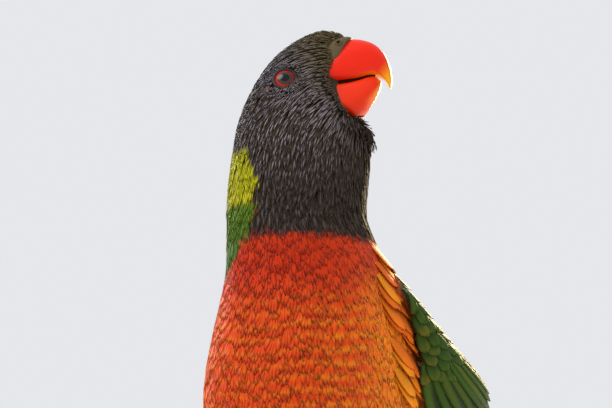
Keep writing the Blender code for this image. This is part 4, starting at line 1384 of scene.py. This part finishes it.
# Swellings and widest radius of the toes' pads, how deep a claw sits in its toe, its
# radius as a share of the toe's, and its tip's radius.
TOE_SWELL = 0.16
TOE_WIDEST = 2.6
CLAW_SUNK = 0.8
CLAW_SHARE = 0.7
CLAW_TIP = 0.12


def limb_point(path, radii):
    """Points round a smooth limb."""
    path, radii = np.asarray(path, float), np.asarray(radii, float)[:, None]

    def point(place, angle):
        place, angle = np.broadcast_arrays(np.asarray(place, float), np.asarray(angle, float))
        ahead, behind = np.minimum(place + 0.02, 1.0), np.maximum(place - 0.02, 0.0)
        heading = unit(along(path, ahead) - along(path, behind))
        across = unit(np.cross(heading, LIMB_TWIST))
        upward = np.cross(across, heading)
        round_it = np.cos(angle)[..., None] * across + np.sin(angle)[..., None] * upward
        return along(path, place) + along(radii, place) * round_it

    return point


def limb(path, radii, rows, sides):
    """Rings round a smooth limb."""
    return limb_point(path, radii)(np.linspace(0.0, 1.0, rows)[:, None], circle(sides)[None, :])


def solid_tube(name, rings, material):
    """A closed smooth piece from an array of rings."""
    piece = tube(name, rings)
    edit = bmesh.new()
    edit.from_mesh(piece.data)
    bmesh.ops.recalc_face_normals(edit, faces=edit.faces)
    edit.to_mesh(piece.data)
    edit.free()
    piece.data.shade_smooth()
    piece.data.materials.append(material)
    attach(piece, "root")
    return piece


def toe_rings(centres, heading, thick, thin):
    """A toe with soft pads, flat where it stands on the floor."""
    part = np.linspace(0.0, 1.0, len(centres))
    swell = TOE_SWELL * np.cos(part * math.tau * 2.5)
    rings = limb(centres, np.minimum(mix(thick, thin, part), TOE_WIDEST) + swell - TOE_SWELL, 40, 20)
    cap = centres[-1] + (rings[-1] - centres[-1]) * 0.6 + heading * 0.6
    rings = np.concatenate([rings, cap[None]])
    rings[..., 2] = np.maximum(rings[..., 2], 0.0)
    return rings


def claw_rings(root, heading, radius):
    """A claw that arches from the toe's end down to the floor."""
    part = np.linspace(0.0, 1.0, 24)
    path = root + heading * (-CLAW_SUNK + (CLAW_LENGTH + 1.1) * part)[:, None]
    arch = CLAW_ARCH * np.sin(np.pi * np.maximum(part - 0.2, 0.0) / 0.8)
    path[:, 2] += arch - (root[2] - CLAW_TIP_HEIGHT) * part**2
    return limb(path, np.maximum(radius * (1.0 - part) ** 0.7, CLAW_TIP), 30, 16)


def make_foot(side, mirror, foot_material, claw_material):
    """Shank and toes as one skin, with a claw on each toe."""
    flip = MIRROR if mirror else 1.0
    shank = limb(TARSUS_PATH, TARSUS_RADII, 24, 20) * flip
    foot = [solid_tube("foot", shank, foot_material)]
    for toe, (bearing, length, thick, thin) in TOES.items():
        turn = math.radians(bearing)
        heading = np.array([math.cos(turn), math.sin(turn), 0.0])
        part = np.linspace(0.0, 1.0, 9)
        centres = np.array(TOE_ROOT) + heading * (length * part)[:, None]
        centres[:, 2] = mix(thick, thin, part) - TOE_FLAT
        rings = toe_rings(centres, heading, thick, thin) * flip
        foot.append(solid_tube("toe", rings, foot_material))
        rings = claw_rings(centres[-1], heading, thin * CLAW_SHARE) * flip
        claw = solid_tube("claw_horn_" + side + "_" + toe, rings, claw_material)
        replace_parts(claw, "claw_" + side + "_" + toe)
    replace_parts(joined("foot_skin_" + side, foot), "foot_" + side)


def make_legs(coat_material, foot_material, claw_material, draw):
    """Feathers of the left thigh and the same mirrored, each with its foot."""
    thigh = Sheet(limb_point(THIGH_PATH, THIGH_RADII), 0.01)
    root = staggered(thigh, THIGH_ENDS, steady(THIGH_PITCHES), (0.0, math.tau), draw)
    tip = reach_down(thigh, root, draw.uniform(6.5, 8.0, len(root)), draw)
    tip[:, 0] = np.minimum(tip[:, 0], 1.02)
    style = dict(STYLE, barbs=5, low=-1.2)
    grown = grow(thigh, root, tip, draw.uniform(1.6, 2.0, len(root)), style, draw)
    tint = blend(YELLOW_GREEN, GREEN, draw.random(len(root)))
    colours = spread_marks(*plain_marks(tint, tint * 0.6), grown[1], draw)
    for side, mirror in SIDES:
        column = 0.9 if mirror else 0.1
        places = np.stack([column + root[:, 1] * 0.01, 0.8 + 0.1 * root[:, 0]], axis=1)
        name = "thigh_feathers_" + side
        make_coat(name, grown, places, colours, coat_material, mirror)
        make_foot(side, mirror, foot_material, claw_material)


# Bill, cere and eyes

BILL_GRID = (70, 48)
CUTTING_EDGE = (0.55, 0.95)

# A nostril: radius and thickness of its rim, radius and half height of the dark button in it,
# which is a painted shade of its hollow.
NOSTRIL_RIM = (1.05, 0.36)
NOSTRIL_HOLE = (0.95, 0.30)

# The eyeball's grid and the small angle that is left open at its ends, and the iris'
# rays: how many and how strong.
EYE_GRID = (72, 64)
EYE_END = 0.02
IRIS_RAYS = 23.0
RAY_STRENGTH = 0.15

# The lids: steps round the eye, how high they stand, how thick they are and how much
# taller than wide, and the height of their wrinkles.
LID_TURNS = 72
LID_RISE = 0.35
LID_THICKNESS = 0.68
LID_TALLER = 1.35
LID_WRINKLE = 0.06
RIGHT_AND_LEFT = ((1, "right"), (-1, "left"))


def bill_rings(stations, rows, sides, flare=0.0, towards=0.0):
    """Rings of the bill; the flare widens the base on the side that faces the mouth."""
    place, angle = np.linspace(0.0, 1.0, rows)[:, None], circle(sides)[None, :]
    squareness = np.where(np.cos(angle) < 0.0, CUTTING_SQUARENESS, BILL_SQUARENESS)
    rings = profile_point(stations, place, angle, squareness)
    right = head_axes()[1]
    out = (rings - rings.mean(axis=1, keepdims=True)) @ right
    aside = np.sign(out) * np.minimum(np.abs(out) / 4.0, 1.0)
    share = ramp(np.cos(angle - towards), -0.3, 0.6) * (1.0 - ramp(place, 0.0, 0.30))
    return rings + (flare * share * aside)[..., None] * right


def paint_rings(piece, colours):
    """Colour a tube piece, whose two last points close its ends."""
    flat = colours.reshape(-1, 3)
    paint(piece, "Tint", np.concatenate([flat, flat[:1], flat[-1:]]))


def make_bill(material):
    """Both halves of the bill, red with yellow edges and tip."""
    place, angle = np.linspace(0.0, 1.0, BILL_GRID[0])[:, None], circle(BILL_GRID[1])[None, :]
    upper = solid_tube("bill_upper", bill_rings(UPPER_BILL, *BILL_GRID, 1.5, math.pi), material)
    edge = ramp(-np.cos(angle), *CUTTING_EDGE)
    glow = ramp(place, 0.62, 0.90) + 0.35 * edge * ramp(place, 0.25, 0.6)
    paint_rings(upper, blend(BILL_RED, BILL_YELLOW, np.clip(glow, 0, 1)))
    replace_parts(upper, "beak_upper")
    lower = solid_tube("bill_lower", bill_rings(LOWER_BILL, *BILL_GRID, 1.9), material)
    edge = ramp(np.cos(angle), *CUTTING_EDGE)
    glow = 0.55 * edge * ramp(place, 0.3, 0.7) + 0.5 * ramp(place, 0.75, 1.0)
    paint_rings(lower, blend(BILL_RED, BILL_YELLOW, np.clip(glow + 0.03, 0, 1)))
    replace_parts(lower, "beak_lower")


def axes_of(look):
    """Two directions across a look, the first one towards the bill, and the look."""
    forward = head_axes()[0]
    across = unit(forward - look * (forward @ look))
    return across, np.cross(look, across), look


def ball_rings(centre, axes, size, end, grid):
    """A flattened ball of a radius and a half height, open by a small angle at both ends."""
    across, beside, look = axes
    tilt = np.linspace(end, math.pi - end, grid[0])[:, None, None]
    angle = circle(grid[1])[None, :, None]
    round_it = np.cos(angle) * across + np.sin(angle) * beside
    return centre + size[0] * np.sin(tilt) * round_it + size[1] * np.cos(tilt) * look


def torus_rings(centre, axes, radius, thick, grid, taller=1.0):
    """Rings of a round loop that lies across a look."""
    across, beside, look = axes
    angle, bend = circle(grid[0])[:, None, None], circle(grid[1])[None, :, None]
    outward = np.cos(angle) * across + np.sin(angle) * beside
    return centre + outward * (radius + thick * np.cos(bend)) + look * thick * taller * np.sin(bend)


def loop_piece(name, rings, material):
    """A closed ring-shaped piece."""
    turns, sides = rings.shape[:2]
    index = np.arange(turns * sides).reshape(turns, sides)
    after, beside = np.roll(index, -1, axis=0), np.roll(index, -1, axis=1)
    faces = np.stack([index, after, np.roll(after, -1, axis=1), beside], axis=-1).reshape(-1, 4)
    points = rings.reshape(-1, 3)
    first, second, _, last = points[faces[0]]
    if np.cross(second - first, last - first) @ (first - rings[0].mean(axis=0)) < 0:
        faces = faces[:, ::-1]
    return make_piece(name, points, faces, material)


def make_bill_base(gap_shade_material, cere_material):
    """The mouth, the cere and a nostril on each side; mouth and nostril holes are painted shade."""
    solid_tube("mouth", bill_rings(MOUTH, 30, 24), gap_shade_material)
    solid_tube("cere", bill_rings(CERE, 16, 48), cere_material)
    forward, right, up = head_axes()
    for side, name in RIGHT_AND_LEFT:
        angle = np.array(side * NOSTRIL_ANGLE)
        centre = profile_point(CERE, np.array(NOSTRIL_PLACE), angle, BILL_SQUARENESS)
        axes = axes_of(unit(right * side + up * 0.40 - forward * 0.10))
        rim = torus_rings(centre, axes, *NOSTRIL_RIM, (28, 10))
        loop_piece("nostril_" + name, rim, cere_material)
        hole = ball_rings(centre, axes, NOSTRIL_HOLE, 0.08, (12, 24))
        solid_tube("nostril_hole_" + name, hole, gap_shade_material)


def eye_colours():
    """A pupil, a grey-brown inner and a rayed red outer iris, and the dark rim."""
    tilt = np.linspace(EYE_END, math.pi - EYE_END, EYE_GRID[0])[:, None]
    angle = circle(EYE_GRID[1])[None, :]
    radius = EYE_SIZE[0] * np.sin(tilt) + 0.0 * angle
    front = np.cos(tilt) > 0
    iris = ramp(radius, *RED_IRIS_EDGE) * front
    ray = 1.0 - RAY_STRENGTH + RAY_STRENGTH * np.sin(angle * IRIS_RAYS)
    middle = blend(PUPIL, INNER_IRIS, ramp(radius, *INNER_IRIS_EDGE) * front)
    colours = blend(middle, IRIS, iris) * (1.0 - iris[..., None] * (1.0 - ray[..., None]))
    return blend(colours, LID_GREY, ramp(radius, *EYE_RIM) * front + (1.0 - front))


def make_eyes(eye_material, lid_material):
    """Eyeballs with wrinkled lids round them."""
    forward, right, up = head_axes()
    stand = EYE_SIZE[2] * math.sqrt(1.0 - (LID_RADIUS / EYE_SIZE[0]) ** 2) + LID_RISE
    wrinkles = LID_WRINKLE * np.sin(np.arange(LID_TURNS) * 2.9)[:, None, None]
    for side, name in RIGHT_AND_LEFT:
        look = unit(forward * EYE_LOOK[0] + up * EYE_LOOK[1] + right * side * EYE_LOOK[2])
        centre = head_point(*EYE_PLACE, side * EYE_DEPTH)
        rings = ball_rings(centre, axes_of(look), EYE_SIZE[::2], EYE_END, EYE_GRID)
        ball = solid_tube("eyeball_" + name, rings, eye_material)
        paint_rings(ball, eye_colours())
        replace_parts(ball, "eye_" + name)
        middle = centre + look * stand
        grid = (LID_TURNS, 16)
        lid = torus_rings(middle, axes_of(look), LID_RADIUS, LID_THICKNESS, grid, LID_TALLER)
        loop_piece("lids_" + name, lid + wrinkles * look, lid_material)


# Camera and studio

SKY = (0.93, 0.94, 0.97, 1.0)
SKY_STRENGTH = 0.85
FLOOR_GREY = (0.70, 0.70, 0.69)
FLOOR_LIGHT = (0.74, 0.74, 0.74)
LIGHT_AIM = (0.0, -0.06, 0.13)

# Lights: name, place, size, power and colour.
LIGHTS = [
    ("key", (-0.38, -0.75, 1.20), 0.8, 10.0, (1.0, 0.98, 0.96)),
    ("rim_right", (-0.26, 1.08, 0.43), 0.3, 26.0, (1.0, 0.76, 0.38)),
    ("rim_left", (-0.85, 0.50, 0.55), 0.5, 12.0, (1.0, 0.95, 0.85)),
]


def make_camera():
    """A camera that shows the right eye where the photo has it."""
    back = np.array([
        math.sin(CAMERA_TURN) * math.cos(CAMERA_TILT),
        -math.cos(CAMERA_TURN) * math.cos(CAMERA_TILT),
        math.sin(CAMERA_TILT),
    ])
    right = np.array([math.cos(CAMERA_TURN), math.sin(CAMERA_TURN), 0.0])
    up = np.cross(back, right)
    eye = head_point(*EYE_PLACE, EYE_DEPTH + EYE_SIZE[2])
    near = 1.0 - float(eye @ back) / CAMERA_DISTANCE
    aside = (PHOTO_WIDTH / 2 - EYE_PIXEL[0]) / PIXELS_PER_MM * near
    above = (PHOTO_HEIGHT / 2 - EYE_PIXEL[1]) / PIXELS_PER_MM * near
    aim = eye - back * float(eye @ back) + right * aside - up * above
    camera = new_object("camera", bpy.data.cameras.new("camera"))
    camera.data.sensor_width = SENSOR_WIDTH
    camera.data.lens = SENSOR_WIDTH * CAMERA_DISTANCE * PIXELS_PER_MM / PHOTO_WIDTH
    camera.data.clip_start = 0.01
    camera.location = to_frame(aim + back * CAMERA_DISTANCE)
    camera.rotation_euler = Matrix((right, up, back)).transposed().to_euler()
    bpy.context.scene.camera = camera


def make_floor():
    """A wide pale floor, as stage."""
    mesh = bpy.data.meshes.new("floor")
    mesh.from_pydata([(-4, -4, 0), (4, -4, 0), (4, 4, 0), (-4, 4, 0)], [], [(0, 1, 2, 3)])
    surface = Surface("floor")
    colour = surface.mix(surface.noise(3.0), FLOOR_GREY, FLOOR_LIGHT)
    surface.put(surface.shader.inputs["Base Color"], colour)
    surface.put(surface.shader.inputs["Roughness"], 0.8)
    mesh.materials.append(surface.material)
    floor = new_object("floor", mesh)


def make_studio():
    """Sky, floor and soft lights; the standard view keeps the bird's reds."""
    world = bpy.data.worlds.new("studio")
    bpy.context.scene.world = world
    bpy.context.scene.view_settings.view_transform = "Standard"
    world.use_nodes = True
    sky = world.node_tree.nodes["Background"]
    sky.inputs[0].default_value = SKY
    sky.inputs[1].default_value = SKY_STRENGTH
    make_floor()
    for name, place, size, power, colour in LIGHTS:
        light = bpy.data.lights.new(name, "AREA")
        light.shape = "DISK"
        light.size = size
        light.energy = power
        light.color = colour
        lamp = new_object(name, light)
        lamp.location = place
        lamp.rotation_euler = (Vector(LIGHT_AIM) - Vector(place)).to_track_quat("-Z", "Y").to_euler()


def main():
    draw = np.random.default_rng(SEED)
    make_camera()
    make_studio()
    paint_skin(make_skin(), draw)
    small = feather_material("small_feathers", roughness=0.62, sheen=0.04, barbs=60.0, depth=0.00010)
    flight = feather_material("flight_feathers", roughness=0.50, sheen=0.04, barbs=160.0, depth=0.00012)
    make_body_coat(small, draw)
    make_fringe(small, draw)
    make_side_feathers(small, draw)
    make_chin(small, draw)
    make_wings(small, flight, draw)
    make_tail(flight, draw)
    make_tail_coverts(small, draw)
    foot = scaly_material("foot_skin", FOOT_GREY)
    claw = bumpy_material("claw_horn", CLAW_BLACK, roughness=0.35, scale=600.0, depth=0.00005)
    make_legs(small, foot, claw, draw)
    bill = bumpy_material("bill_horn", None, roughness=0.30, scale=260.0, depth=0.00006, shine=0.22)
    # The mouth piece and the nostrils' holes are near black as painted shade.
    mouth = bumpy_material("mouth", PAINTED_GAP_SHADE, roughness=0.9, scale=300.0, depth=0.00005, shine=0.02)
    cere = bumpy_material("cere", CERE_OLIVE, roughness=0.60, scale=900.0, depth=0.00015)
    make_bill(bill)
    make_bill_base(mouth, cere)
    eye = bumpy_material("eye", None, roughness=0.25, scale=900.0, depth=0.0, wet=0.45, shine=0.05)
    lid = bumpy_material("lid_skin", LID_GREY, roughness=0.5, scale=1400.0, depth=0.0002)
    make_eyes(eye, lid)


main()
